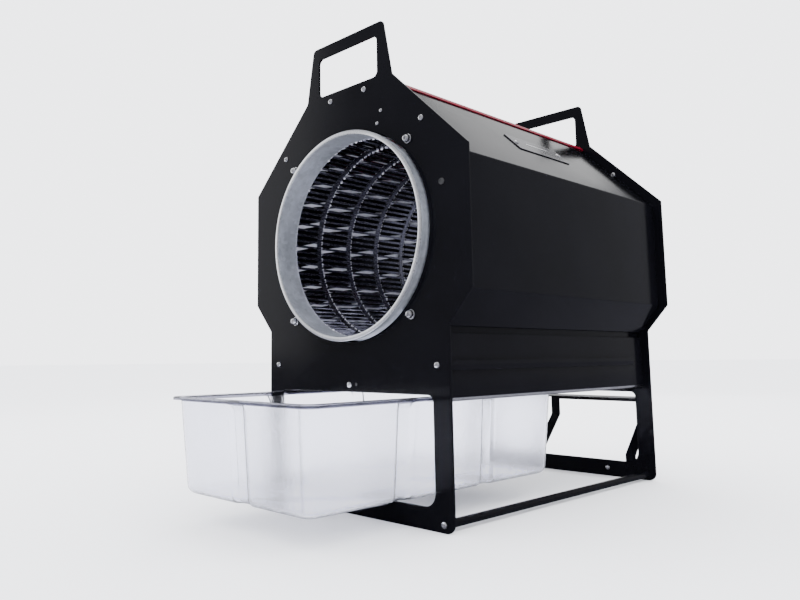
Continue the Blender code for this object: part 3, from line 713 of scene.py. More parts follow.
def extruded_across(name: str, outline: Sequence[Point], left: float, right: float, finish: Finish) -> Piece:
    """A bar of one outline, in Y and Z, that runs from left to right."""
    bar = extruded(name, outline, -right, -left, finish)
    bar.data.transform(Matrix.Rotation(math.pi / 2, 4, "Z"))
    return bar


def block(low: Vector, high: Vector) -> bmesh.types.BMesh:
    """Makes a sharp block between two corners.

    Args:
        low: Its low corner.
        high: Its high corner.

    Returns:
        The block.
    """
    shape = bmesh.new()
    bmesh.ops.create_cube(shape, size=1.0)
    bmesh.ops.scale(shape, vec=high - low, verts=shape.verts)
    bmesh.ops.translate(shape, vec=(low + high) / 2, verts=shape.verts)
    return shape


def rounded_block(name: str, low: Vector, high: Vector, edge: float, finish: Finish) -> Piece:
    """A block whose edges are rounded.

    Args:
        name: The piece's name.
        low: Its lowest corner.
        high: Its highest corner.
        edge: The radius of its edges.
        finish: Its finish.

    Returns:
        The piece.
    """
    shape = block(low, high)
    bmesh.ops.bevel(
        shape, geom=shape.edges[:], offset=edge, segments=3, profile=0.5, affect="EDGES", clamp_overlap=True
    )
    return piece_of(name, shape, finish)


# ---- Fastenings --------------------------------------------------------------------------------
@dataclass(frozen=True)
class ButtonScrew:
    """A round-head screw with a hexagon socket, and a washer under it when washer isn't 0."""

    radius: float = 0.0048
    height: float = 0.0026
    socket: float = 0.0017
    washer: float = 0.0
    washer_thick: float = 0.0018
    steps: int = 24

    def rings(self) -> list[Point]:
        """Works out the head's profile.

        Returns:
            The rings from the socket's floor out over the head and down to the seat.
        """
        seat = self.washer_thick if self.washer else 0.0
        top = seat + self.height
        rings = [(0.0, top - self.height * 0.6), (self.socket, top - self.height * 0.6), (self.socket, top)]
        rim = self.socket * 1.35
        for share in range(1, 7):
            turn = math.pi / 2 * share / 6
            rings.append((rim + (self.radius - rim) * math.sin(turn), seat + self.height * math.cos(turn)))
        if self.washer:
            rings += [(self.washer - 0.0003, seat), (self.washer, seat - 0.0003), (self.washer, 0.0)]
        return rings + [(0.0, 0.0)]

    def drive_in(self, name: str, spot: Vector, out: Vector, *nodes: str) -> None:
        """Sets the screw in place.

        Args:
            name: The piece's name.
            spot: Where its seat is.
            out: The way that its head faces.
            nodes: The nodes that it replaces.
        """
        screw = turned(name, self.rings(), self.steps, spot, out, STAINLESS, hexagon=3)
        fit(screw, "machine", STAINLESS, *nodes)


def middle_of(node: str, y: float | None = None) -> Vector:
    """The middle of a node's box, moved to that Y if one is given."""
    low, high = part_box(node)
    middle = (low + high) / 2
    return middle if y is None else Vector((middle.x, y, middle.z))


@dataclass
class Screws:
    """The small screws and plugs of both end plates."""

    screw: ButtonScrew = ButtonScrew()
    small: ButtonScrew = ButtonScrew(0.0030, 0.0016, 0.0010)
    names: tuple[str, ...] = (
        "lid_screw_left",
        "lid_screw_right",
        "roof_screw_left",
        "roof_screw_right",
        "rail_screw_left",
        "rail_screw_right",
        "foot_screw_left",
        "foot_screw_right",
        "middle_screw",
    )
    small_spots: tuple[Point, ...] = ((0.076, 0.619), (0.068, 0.600))
    hole_spots: tuple[Point, ...] = ((0.015, 0.196),)
    tip_x: float = 0.148
    tip_z: float = 0.602

    def build(self) -> None:
        """Makes each screw on the front plate and its twin on the rear one."""
        for name in self.names:
            spot = middle_of(name)
            front = Vector((spot.x, End.FRONT.face(), spot.z))
            rear = Vector((spot.x, End.REAR.face(), spot.z))
            self.screw.drive_in(name + "_head", front, FORWARD, name)
            self.screw.drive_in(name + "_rear", rear, REARWARD)
        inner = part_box("rear_end_plate")[0].y
        for side in Side:
            spot = Vector((side.value * self.tip_x, inner, self.tip_z))
            self.screw.drive_in(f"{side.word}_panel_screw", spot, FORWARD)
        for number, (x, z) in enumerate(self.small_spots, 1):
            spot = Vector((x, End.FRONT.face(), z))
            self.small.drive_in(f"small_screw_{number}", spot, FORWARD)
        for number, (x, z) in enumerate(self.hole_spots, 1):
            rings = [(0.0, 0.0001), (0.0016, 0.0001), (0.0021, 0.0003), (0.0024, 0.0)]
            spot = Vector((x, End.FRONT.face(), z))
            eye = turned(f"plate_eye_{number}", rings, 20, spot, FORWARD, BLACK_PLASTIC)
            fit(eye, "machine", BLACK_PLASTIC)
        self.plug()

    def plug(self) -> None:
        """Makes the push-in plug with its raised ring."""
        low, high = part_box("side_plug")
        radius = (high.x - low.x) / 2
        rings = [(0.0, 0.0004), (0.6, 0.0004), (0.7, 0.0014), (0.85, 0.0014), (1.0, 0.0007), (1.0, 0.0)]
        rings = [(share * radius, along) for share, along in rings]
        spot = middle_of("side_plug", End.FRONT.face())
        plug = turned("side_plug_cap", rings, 32, spot, FORWARD, BLACK_PLASTIC)
        fit(plug, "machine", BLACK_PLASTIC, "side_plug")


# ---- End plates --------------------------------------------------------------------------------
@dataclass
class EndPlate:
    """One steel end plate, from its carrying handle down to its base bar."""

    end: End
    window_top: float
    edge: float = 0.0007
    leg_half: float = 0.200
    leg_width: float = 0.032
    base_bar: float = 0.031
    shoulder_rise: float = 0.103
    shoulder_top: float = 0.243
    waist_drop: float = 0.099
    knee_drop: float = 0.147
    handle_top_half: float = 0.082
    handle_base_half: float = 0.099
    handle_bar: float = 0.021
    handle_side: float = 0.0135
    handle_sill: float = 0.004
    hole_clearance: float = 0.0012
    shaft_hole: float = 0.006

    def outline(self) -> list[Point]:
        """Works out the plate's outer edge.

        Returns:
            The outline.
        """
        _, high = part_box(f"{self.end.word}_end_plate")
        axis_z = Drum.axis().z
        right = [
            (self.handle_top_half, high.z, 0.008),
            (self.handle_base_half, axis_z + self.shoulder_top, 0.006),
            (high.x, axis_z + self.shoulder_rise, 0.003),
            (high.x, axis_z - self.waist_drop, 0.003),
            (self.leg_half, axis_z - self.knee_drop, 0.003),
            (self.leg_half, 0.0, 0.014),
        ]
        return rounded(right + [(-x, z, r) for x, z, r in reversed(right)], 8)

    def grip(self) -> list[Point]:
        """Works out the hand hole.

        Returns:
            The hole's outline.
        """
        _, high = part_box(f"{self.end.word}_end_plate")
        top = high.z - self.handle_bar
        low = Drum.axis().z + self.shoulder_top + self.handle_sill
        half = self.handle_top_half - self.handle_side
        corners = ((half, top), (half, low), (-half, low), (-half, top))
        return rounded([(x, z, 0.009) for x, z in corners], 8)

    def window(self) -> list[Point]:
        """The opening between the legs."""
        half = self.leg_half - self.leg_width
        corners = [(half, self.window_top, 0.010), (half, self.base_bar, 0.020)]
        return rounded(corners + [(-x, z, r) for x, z, r in reversed(corners)], 10)

    def build(self) -> None:
        """Cuts the plate."""
        node = f"{self.end.word}_end_plate"
        low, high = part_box(node)
        _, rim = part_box("front_collar")
        loops = [self.outline(), self.grip(), self.window()]
        loops.append(circle(0, Drum.axis().z, rim.x + self.hole_clearance, 160))
        if self.end is End.REAR:
            loops.append(circle(0, middle_of("drive_shaft").z, self.shaft_hole, 32))
        stand = upright(Vector((0, (low.y + high.y) / 2, 0)))
        plate = cut_sheet(node + "_steel", loops, high.y - low.y, self.edge, stand, BLACK)
        fit(plate, "machine", BLACK, node)


# ---- Drum --------------------------------------------------------------------------------------
@dataclass
class Drum:
    """The turning drum: two collars, the slotted screen and the cage of slanted bars round it."""

    collar_wall: float = 0.0035
    rim_width: float = 0.006
    rim_lip: float = 0.001
    round_edge: float = 0.0012
    sleeve: float = 0.0020
    tuck: float = 0.0040
    sleeve_wall: float = 0.0006
    slots: int = 100
    slot_width: float = 0.0062
    screen_wall: float = 0.0022
    column_pitch: float = 0.0736
    first_band: float = 0.0811
    columns: int = 8
    band: float = 0.0088
    end_band: float = 0.0028
    bars: int = 27
    bar_width: float = 0.0072
    bar_thick: float = 0.0008
    bar_skew: float = math.radians(-4.3)
    bar_tilt: float = 0.0010
    hoop_width: float = 0.0045
    end_hoop_width: float = 0.0014
    end_hoop_gap: float = 0.0006
    hoop_sides: int = 120
    cad_wall: float = 0.0015

    @staticmethod
    def axis() -> Vector:
        """The point on the drum's axis that its joint gives."""
        spin = next(joint for joint in frame["joints"] if joint["name"] == "drum_spin")
        return Vector(spin["pos_m"])

    def inside(self) -> float:
        """The radius of the screen's inner face."""
        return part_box("drum_screen")[1].x - self.cad_wall

    def collar(self, end: End) -> None:
        """Turns one collar with its rolled rim.

        Args:
            end: The collar's end of the machine.
        """
        node = f"{end.word}_collar"
        low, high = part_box(node)
        rim = high.x
        inner = self.inside()
        outer = inner + self.collar_wall
        lip = inner - self.rim_lip
        deep = high.y - low.y
        r = self.round_edge
        rings = [(lip, -self.rim_width), (lip, -r), (lip + r * 0.3, -r * 0.3), (lip + r, 0.0)]
        rings += [(rim - r, 0.0), (rim - r * 0.3, -r * 0.3), (rim, -r), (rim, r - self.rim_width)]
        rings += [(rim - r * 0.3, r * 0.3 - self.rim_width), (rim - r, -self.rim_width)]
        rings += [(outer + r, -self.rim_width), (outer, -self.rim_width - r), (outer, -deep)]
        skin = inner - self.sleeve_wall
        rings += [(inner - 0.0001, -deep), (inner - 0.0001, -deep - self.sleeve), (skin, -deep - self.sleeve)]
        rings += [(skin, -self.rim_width)]
        tip = low.y if end is End.FRONT else high.y
        spot, out = Vector((0, tip, self.axis().z)), Vector((0, end.value, 0))
        collar = turned(node + "_zinc", rings, 160, spot, out, ZINC, RIM_PAINTED_REFLECTION, closed=True)
        # Painted reflection: the outward-facing rim faces take the lighter copy of the zinc.
        for face in collar.data.polygons:
            if face.normal.y * end.value > 0.3 and abs(face.center.y - tip) < r:
                face.material_index = 1
        fit(collar, "drum", ZINC, node)

    def bands(self) -> list[tuple[float, float]]:
        """Works out the columns of slots.

        Returns:
            Each column's first and last Y.
        """
        low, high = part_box("drum_screen")
        base = End.FRONT.face() + self.first_band
        edges = [low.y - self.tuck + self.end_band]
        for number in range(self.columns - 1):
            middle = base + number * self.column_pitch
            edges += [middle - self.band / 2, middle + self.band / 2]
        edges.append(high.y + self.tuck - self.end_band)
        return list(zip(edges[::2], edges[1::2]))

    def screen(self) -> None:
        """Makes the screen as one sheet whose slots have round ends."""
        low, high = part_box("drum_screen")
        axis = self.axis()
        radius = self.inside()
        shape = bmesh.new()
        half_turn = math.pi / self.slots
        slot_turn = self.slot_width / 2 / radius
        known: dict[tuple[int, float], bmesh.types.BMVert] = {}

        def vertex(turn: float, y: float) -> bmesh.types.BMVert:
            """Finds or makes a vertex of the sheet.

            Args:
                turn: Its angle round the drum.
                y: Its Y.

            Returns:
                The vertex, made once.
            """
            whole = 2 * math.pi
            key = (round((turn % whole) * 1e6) % round(whole * 1e6), round(y, 7))
            if key not in known:
                place = (radius * math.cos(turn), y, axis.z + radius * math.sin(turn))
                known[key] = shape.verts.new(place)
            return known[key]

        def panel(a: Point, b: Point, c: Point, d: Point) -> None:
            """Adds one face between four places on the sheet."""
            corners = list(dict.fromkeys(vertex(*place) for place in (a, b, c, d)))
            if len(corners) > 2:
                shape.faces.new(corners)

        previous = low.y - self.tuck
        for start, stop in self.bands():
            for number in range(self.slots):
                middle = 2 * half_turn * number
                above, below = middle + half_turn, middle - half_turn
                self.cell(panel, (below, middle, above), slot_turn, start, stop)
                for left, right in ((below, middle), (middle, above)):
                    panel((left, previous), (left, start), (right, start), (right, previous))
            previous = stop
        last = high.y + self.tuck
        for number in range(self.slots * 2):
            left, right = half_turn * number, half_turn * (number + 1)
            panel((left, previous), (left, last), (right, last), (right, previous))
        # Painted shade: the slats take the dark copy of the zinc.
        screen = thickened("drum_screen_slats", shape, self.screen_wall, SLATS_PAINTED_SHADE, SLOT_ENDS_PAINTED_GLINT)
        # Painted highlight: faces that point to the open end take the bright copy of the zinc, as glints at
        # the slot ends.
        for face in screen.data.polygons:
            if face.normal.y < -0.6:
                face.material_index = 1
        fit(screen, "drum", SLATS_PAINTED_SHADE, "drum_screen")

    def cell(self, panel: Panel, turns: Turns, slot_turn: float, start: float, stop: float) -> None:
        """Fills the sheet round one slot.

        Args:
            panel: The function that adds a face between four places.
            turns: The cell's lower edge, middle and upper edge, as angles.
            slot_turn: Half the slot's width as an angle.
            start: The cell's first Y.
            stop: The cell's last Y.
        """
        below, middle, above = turns
        reach = self.slot_width / 2
        near, far = start + reach, stop - reach
        corner = math.sqrt(0.5)
        near_hole = [
            (middle - slot_turn, near),
            (middle - slot_turn * corner, near - reach * corner),
            (middle, start),
            (middle + slot_turn * corner, near - reach * corner),
            (middle + slot_turn, near),
        ]
        near_edge = [(below, near), (below, start), (middle, start), (above, start), (above, near)]
        far_hole = [(turn, near + far - y) for turn, y in reversed(near_hole)]
        far_edge = [(turn, near + far - y) for turn, y in reversed(near_edge)]
        hole = near_hole + far_hole
        edge = near_edge + far_edge
        for i in range(len(hole)):
            n = (i + 1) % len(hole)
            panel(edge[i], edge[n], hole[n], hole[i])

    def cage(self) -> None:
        """Makes the hoops and the slanted bars between them."""
        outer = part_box("drum_cage")[1].x
        axis = self.axis()
        low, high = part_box("drum_screen")
        inner = self.inside() + self.screen_wall + 0.0001
        shape = bmesh.new()
        columns = self.bands()
        front, rear = low.y + self.end_hoop_gap, high.y - self.end_hoop_gap
        hoops = [(front, front + self.end_hoop_width)]
        for before, after in zip(columns, columns[1:]):
            middle = (before[1] + after[0]) / 2
            hoops.append((middle - self.hoop_width / 2, middle + self.hoop_width / 2))
        hoops.append((rear - self.end_hoop_width, rear))
        for start, stop in hoops:
            self.hoop(shape, inner, outer, start, stop)
        for before, after in zip(hoops, hoops[1:]):
            for number in range(self.bars):
                turn = 2 * math.pi * (number + 0.5) / self.bars
                self.bar(shape, inner, turn, before[1], after[0])
        bmesh.ops.translate(shape, vec=(0, 0, axis.z), verts=shape.verts)
        # The bars' finish carries a painted highlight as well as their own bright steel.
        cage = piece_of("drum_cage_bars", shape, BARS_WITH_PAINTED_HIGHLIGHT)
        fit(cage, "drum", BARS_WITH_PAINTED_HIGHLIGHT, "drum_cage")

    def hoop(self, shape: bmesh.types.BMesh, inner: float, outer: float, start: float, stop: float) -> None:
        """Adds one flat hoop.

        Args:
            shape: The shape that it is added to.
            inner: Its inner radius.
            outer: Its outer radius.
            start: Its first Y.
            stop: Its last Y.
        """
        rings = []
        for radius, y in ((inner, start), (inner, stop), (outer, stop), (outer, start)):
            rings.append([shape.verts.new((x, y, z)) for x, z in circle(0, 0, radius, self.hoop_sides)])
        for one, two in zip(rings, rings[1:] + rings[:1]):
            bridge(shape, one, two)

    def bar(self, shape: bmesh.types.BMesh, inner: float, turn: float, start: float, stop: float) -> None:
        """Adds one slanted bar, tilted like a louvre.

        Args:
            shape: The shape that it is added to.
            inner: The radius of its nearer edge.
            turn: The angle where it starts.
            start: Its first Y.
            stop: Its last Y.
        """
        half = self.bar_width / 2 / inner
        rows = []
        for y, middle in ((start, turn), (stop, turn + self.bar_skew)):
            row = []
            corners = (
                (inner, -half),
                (inner + self.bar_tilt, half),
                (inner + self.bar_tilt + self.bar_thick, half),
                (inner + self.bar_thick, -half),
            )
            for radius, swing in corners:
                angle = middle + swing
                row.append(shape.verts.new((radius * math.cos(angle), y, radius * math.sin(angle))))
            rows.append(row)
        near, far = rows
        bridge(shape, far, near)
        shape.faces.new(near[::-1])
        shape.faces.new(far)

    def build(self) -> None:
        """Makes the whole drum."""
        for end in End:
            self.collar(end)
        self.screen()
        self.cage()


# ---- Rollers -----------------------------------------------------------------------------------
@dataclass
class Rollers:
    """The eight rollers and the axle bolts that they turn on."""

    edge: float = 0.001
    recess: float = 0.0012
    hub: float = 0.010
    bore: float = 0.0044
    head: ButtonScrew = ButtonScrew(0.0062, 0.0066, 0.0024, 0.0072)
    nut: float = 0.0062
    shank: float = 0.004

    def roller(self, end: End, number: int) -> None:
        """Turns one roller with a dished face.

        Args:
            end: Its end of the machine.
            number: Its number, from 1.
        """
        node = f"{end.word}_roller_{number}"
        low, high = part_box(node)
        radius = (high.x - low.x) / 2
        half = (high.y - low.y) / 2
        e = self.edge
        rings = [(self.bore, half - 0.0003), (self.hub, half - 0.0003), (self.hub + e, half - self.recess)]
        rings += [(radius - 3 * e, half - self.recess), (radius - 2 * e, half), (radius - e, half)]
        rings += [(radius - e * 0.3, half - e * 0.3), (radius, half - e)]
        rings += [(r, -along) for r, along in reversed(rings)]
        roller = turned(node + "_wheel", rings, 48, middle_of(node), REARWARD, NYLON, closed=True)
        fit(roller, f"{node}_body", NYLON, node)

    def axle(self, end: End, number: int) -> None:
        """Makes one axle bolt: its head and washer outside, its shank and nut inside.

        Args:
            end: Its end of the machine.
            number: Its number, from 1.
        """
        node = f"{end.word}_axle_{number}"
        low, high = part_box(node)
        spot, out = middle_of(node, end.face()), Vector((0, end.value, 0))
        inner_end = (high.y - end.face()) if end is End.FRONT else (end.face() - low.y)
        nut_start = inner_end - 0.005
        rings = self.head.rings()[:-1]
        rings += [(self.shank, 0.0), (self.shank, -nut_start), (self.nut - 0.0006, -nut_start)]
        rings += [(self.nut, -nut_start - 0.0006), (self.nut, -inner_end + 0.0006)]
        rings += [(self.nut - 0.0006, -inner_end), (0.0, -inner_end)]
        axle = turned(node + "_bolt", rings, 36, spot, out, STAINLESS, hexagon=3)
        fit(axle, "machine", STAINLESS, node)

    def build(self) -> None:
        """Makes all eight of each."""
        for end in End:
            for number in range(1, 5):
                self.roller(end, number)
                self.axle(end, number)


# ---- Housing -----------------------------------------------------------------------------------
@dataclass
class Housing:
    """The folded side panels, the red lid, the skirts with their rails, and the name plate."""

    sheet: float = 0.0015
    bend: float = 0.0045
    inset: float = 0.016
    shoulder_rise: float = 0.103
    waist_drop: float = 0.099
    foot_half: float = 0.190
    handle_base_half: float = 0.099
    shoulder_top: float = 0.243
    skirt_step: float = 0.006
    skirt_overlap: float = 0.018
    lid_bend: float = 0.003
    ledge_bend: float = 0.0012
    rail_edge: float = 0.0016
    plate_corner: float = 0.004
    plate_edge: float = 0.0004

    def slope(self) -> float:
        """The roof's angle below the horizontal."""
        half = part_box("front_end_plate")[1].x
        return math.atan2(self.shoulder_top - self.shoulder_rise, half - self.handle_base_half)

    def folded(self, node: str, corners: Sequence[Corner], steps: int, finish: Finish = BLACK) -> None:
        """Folds one sheet that runs the length of its node.

        Args:
            node: The node that it replaces.
            corners: Each corner's x, z and bend radius, for the right side.
            steps: How many steps each bend has.
            finish: Its finish.
        """
        low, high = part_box(node)
        outline = thicken(rounded(corners, steps, cyclic=False)[::-1], self.sheet)
        if node.startswith(Side.LEFT.word):
            outline = mirrored(outline)
        fit(extruded(node + "_sheet", outline, low.y, high.y, finish), "machine", finish, node)

    def panels(self) -> None:
        """Folds the two side panels."""
        for side in Side:
            node = f"{side.word}_housing_panel"
            low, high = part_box(node)
            axis_z = Drum.axis().z
            half = max(abs(low.x), abs(high.x))
            slope = self.slope()
            shoulder = axis_z + self.shoulder_rise - self.inset * math.tan((math.pi / 2 - slope) / 2)
            ridge = half - (high.z - shoulder) / math.tan(slope)
            waist = axis_z - self.waist_drop
            corners = [(ridge, high.z, 0), (half, shoulder, self.bend)]
            corners += [(half, waist, self.bend), (self.foot_half, low.z, 0)]
            self.folded(node, corners, 6)

    def lid(self) -> None:
        """Folds the red lid with its turned-down lips."""
        low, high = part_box("top_lid")
        edge = high.x - (high.z - low.z - self.sheet) / math.tan(self.slope())
        right = [(edge, high.z, self.lid_bend), (high.x, low.z, 0)]
        corners = [(-x, z, radius) for x, z, radius in reversed(right)] + right
        self.folded("top_lid", corners, 5, RED)

    def skirts(self) -> None:
        """Makes the two skirts and the rail that runs along each."""
        for side in Side:
            node = f"{side.word}_skirt"
            low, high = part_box(node)
            half = max(abs(low.x), abs(high.x))
            step = half - self.skirt_step
            ledge = high.z - self.skirt_overlap
            corners = [(step, high.z, 0), (step, ledge, 0)]
            corners += [(half, ledge, self.ledge_bend), (half, low.z, 0)]
            self.folded(node, corners, 4)
            node = f"{side.word}_side_rail"
            low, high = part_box(node)
            middle = (low + high) / 2
            outline = rectangle(high.x - middle.x, high.z - middle.z, self.rail_edge, 4, (middle.x, middle.z))
            fit(extruded(node + "_bar", outline, low.y, high.y, BLACK), "machine", BLACK, node)

    def name_plate(self) -> None:
        """Makes the blank name plate, its bright stripe and its two screws."""
        low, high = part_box("name_plate")
        slope = self.slope()
        thick = self.sheet
        half_x = ((high.x - low.x) / 2 - thick / 2 * math.sin(slope)) / math.cos(slope)
        stand = Matrix.Translation((low + high) / 2) @ Matrix.Rotation(slope, 4, "Y")
        outline = rectangle(half_x, (high.y - low.y) / 2, self.plate_corner, 6)
        plate = cut_sheet("name_plate_steel", [outline], thick, self.plate_edge, stand, PLATE)
        fit(plate, "machine", PLATE, "name_plate")
        stripe = rectangle(0.0016, 0.034, 0.0007, 3, (-0.004, 0))
        lift = stand @ Matrix.Translation((0, 0, thick / 2 + 0.0001))
        inlay = cut_sheet("name_plate_stripe", [stripe], 0.0004, 0.0001, lift, STAINLESS)
        fit(inlay, "machine", STAINLESS)
        out = Vector((math.sin(slope), 0, math.cos(slope)))
        for end in End:
            node = f"name_plate_screw_{end.word}"
            spot = middle_of(node) - out * 0.0013
            ButtonScrew().drive_in(node + "_head", spot, out, node)

    def build(self) -> None:
        """Makes every sheet of the housing."""
        self.panels()
        self.lid()
        self.skirts()
        self.name_plate()


# ---- Tray --------------------------------------------------------------------------------------
@dataclass
class Tray:
    """The clear slide-out tray and the rails that carry it."""

    wall: float = 0.0028
    flange: float = 0.012
    lip: float = 0.0045
    taper: float = 0.010
    corner: float = 0.022
    floor_radius: float = 0.010
    groove_width: float = 0.040
    groove_depth: float = 0.007
    groove_flare: float = 0.008
    corner_steps: int = 10
    rail_sheet: float = 0.002
    rail_bend: float = 0.003

    def groove(self, away: float) -> float:
        """How far a groove is pressed in.

        Args:
            away: The distance from the groove's middle.

        Returns:
            Its share of the full depth, from 0 to 1.
        """
        share = (self.groove_width / 2 - abs(away)) / self.groove_flare
        share = max(0.0, min(1.0, share))
        return share * share * (3 - 2 * share)

    def wall_points(self, half: float, grooves: Sequence[float]) -> list[tuple[float, float]]:
        """Places along one wall, closer together in its grooves.

        Args:
            half: Half the wall's straight length.
            grooves: The middles of its grooves.

        Returns:
            Each place and its groove share.
        """
        places = {-half, half}
        for middle in grooves:
            reach = self.groove_width / 2
            for step in range(9):
                inward = reach - self.groove_flare * step / 8
                places |= {middle - inward, middle + inward}
        return [(place, max(self.groove(place - middle) for middle in grooves)) for place in sorted(places)]

    def loop(self, half_x: float, half_y: float, third: float, corner: float, press: float) -> list[Point]:
        """One level of the tray, anticlockwise.

        Args:
            half_x: Half its width.
            half_y: Half its length.
            third: The distance from its middle to a long wall's grooves.
            corner: Its corner radius.
            press: How deep its grooves are here.

        Returns:
            Its points.
        """
        long = self.wall_points(self.straight_y, (-third, third))
        short = self.wall_points(self.straight_x, (0.0,))
        quarter = []
        for step in range(1, self.corner_steps):
            turn = math.pi / 2 * step / self.corner_steps
            quarter.append((math.cos(turn), math.sin(turn)))
        stretch_y = (half_y - corner) / self.straight_y
        stretch_x = (half_x - corner) / self.straight_x

        def squeeze(place: float, straight: float, stretch: float) -> float:
            """Moves only a wall's ends to meet its corner."""
            return place * stretch if abs(place) >= straight - 1e-9 else place

        loop = [(half_x - press * share, squeeze(y, self.straight_y, stretch_y)) for y, share in long]
        loop += [(half_x - corner + corner * c, half_y - corner + corner * s) for c, s in quarter]
        loop += [(-squeeze(x, self.straight_x, stretch_x), half_y - press * share) for x, share in short]
        loop += [(corner - half_x - corner * s, half_y - corner + corner * c) for c, s in quarter]
        loop += [(press * share - half_x, -squeeze(y, self.straight_y, stretch_y)) for y, share in long]
        loop += [(corner - half_x - corner * c, corner - half_y - corner * s) for c, s in quarter]
        loop += [(squeeze(x, self.straight_x, stretch_x), press * share - half_y) for x, share in short]
        loop += [(half_x - corner + corner * s, corner - half_y - corner * c) for c, s in quarter]
        return loop

    def levels(self, depth: float) -> list[tuple[float, float, float]]:
        """The levels from the lip's foot to the floor.

        Args:
            depth: From the rim's top to the floor's upper face.

        Returns:
            Each level's distance in from the rim's edge, its height and its groove share.
        """
        bend = 0.0016
        levels = [(0.0, -self.lip, 0.0), (0.0, -bend, 0.0), (bend * 0.3, -bend * 0.3, 0.0), (bend, 0.0, 0.0)]
        levels += [(self.flange - 2 * bend, 0.0, 0.0), (self.flange - bend * 0.6, -bend * 0.6, 0.0)]
        foot = depth - self.floor_radius
        for share in (0.02, 0.05, 0.08, 0.12, 0.4, 0.7, 1.0):
            down = foot * share
            pressed = min(1.0, share / 0.12)
            levels.append((self.flange + self.taper * share, -down, pressed * pressed * (3 - 2 * pressed)))
        for step in range(1, 6):
            turn = math.pi / 2 * step / 5
            inward = self.flange + self.taper + self.floor_radius * (1 - math.cos(turn))
            levels.append((inward, -foot - self.floor_radius * math.sin(turn), 1.0))
        return levels

    def shell(self) -> None:
        """Moulds the tray as one thin shell."""
        low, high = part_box("tray")
        middle = (low + high) / 2
        half_x = (high.x - low.x) / 2
        half_y = (high.y - low.y) / 2
        self.straight_x = half_x - self.flange - self.taper - self.floor_radius - self.corner / 2
        self.straight_y = half_y - self.flange - self.taper - self.floor_radius - self.corner / 2
        third = half_y / 3
        shape = bmesh.new()
        rings = []
        for inward, z, share in self.levels(high.z - low.z - self.wall):
            corner = max(self.corner - inward / 2, self.corner / 2)
            points = self.loop(half_x - inward, half_y - inward, third, corner, self.groove_depth * share)
            rings.append([shape.verts.new((x, middle.y + y, high.z + z)) for x, y in points])
        for upper, lower in zip(rings, rings[1:]):
            bridge(shape, upper, lower)
        shape.faces.new(rings[-1][::-1])
        tray = thickened("tray_shell", shape, self.wall, CLEAR, CLEAR_EDGE_PAINTED_SHADE)
        # Painted shade: the faces of the lip's band take the dark copy of the clear plastic.
        for face in tray.data.polygons:
            if face.center.z < high.z - self.wall / 2 and face.center.z > high.z - self.lip - self.wall:
                face.material_index = 1
        fit(tray, "tray", CLEAR, "tray")

    def rails(self) -> None:
        """Folds the two rails that the tray's rim slides on."""
        for side in Side:
            node = f"{side.word}_tray_rail"
            low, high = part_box(node)
            inner, outer = sorted((abs(low.x), abs(high.x)))
            corners = [(outer, high.z, 0), (outer, low.z, self.rail_bend), (inner, low.z, 0)]
            outline = thicken(rounded(corners, 5, cyclic=False)[::-1], self.rail_sheet)
            if side is Side.LEFT:
                outline = mirrored(outline)
            rail = extruded(node + "_angle", outline, low.y, high.y, STAINLESS)
            fit(rail, "machine", STAINLESS, node)

    def build(self) -> None:
        """Makes the tray and its rails."""
        self.shell()
        self.rails()


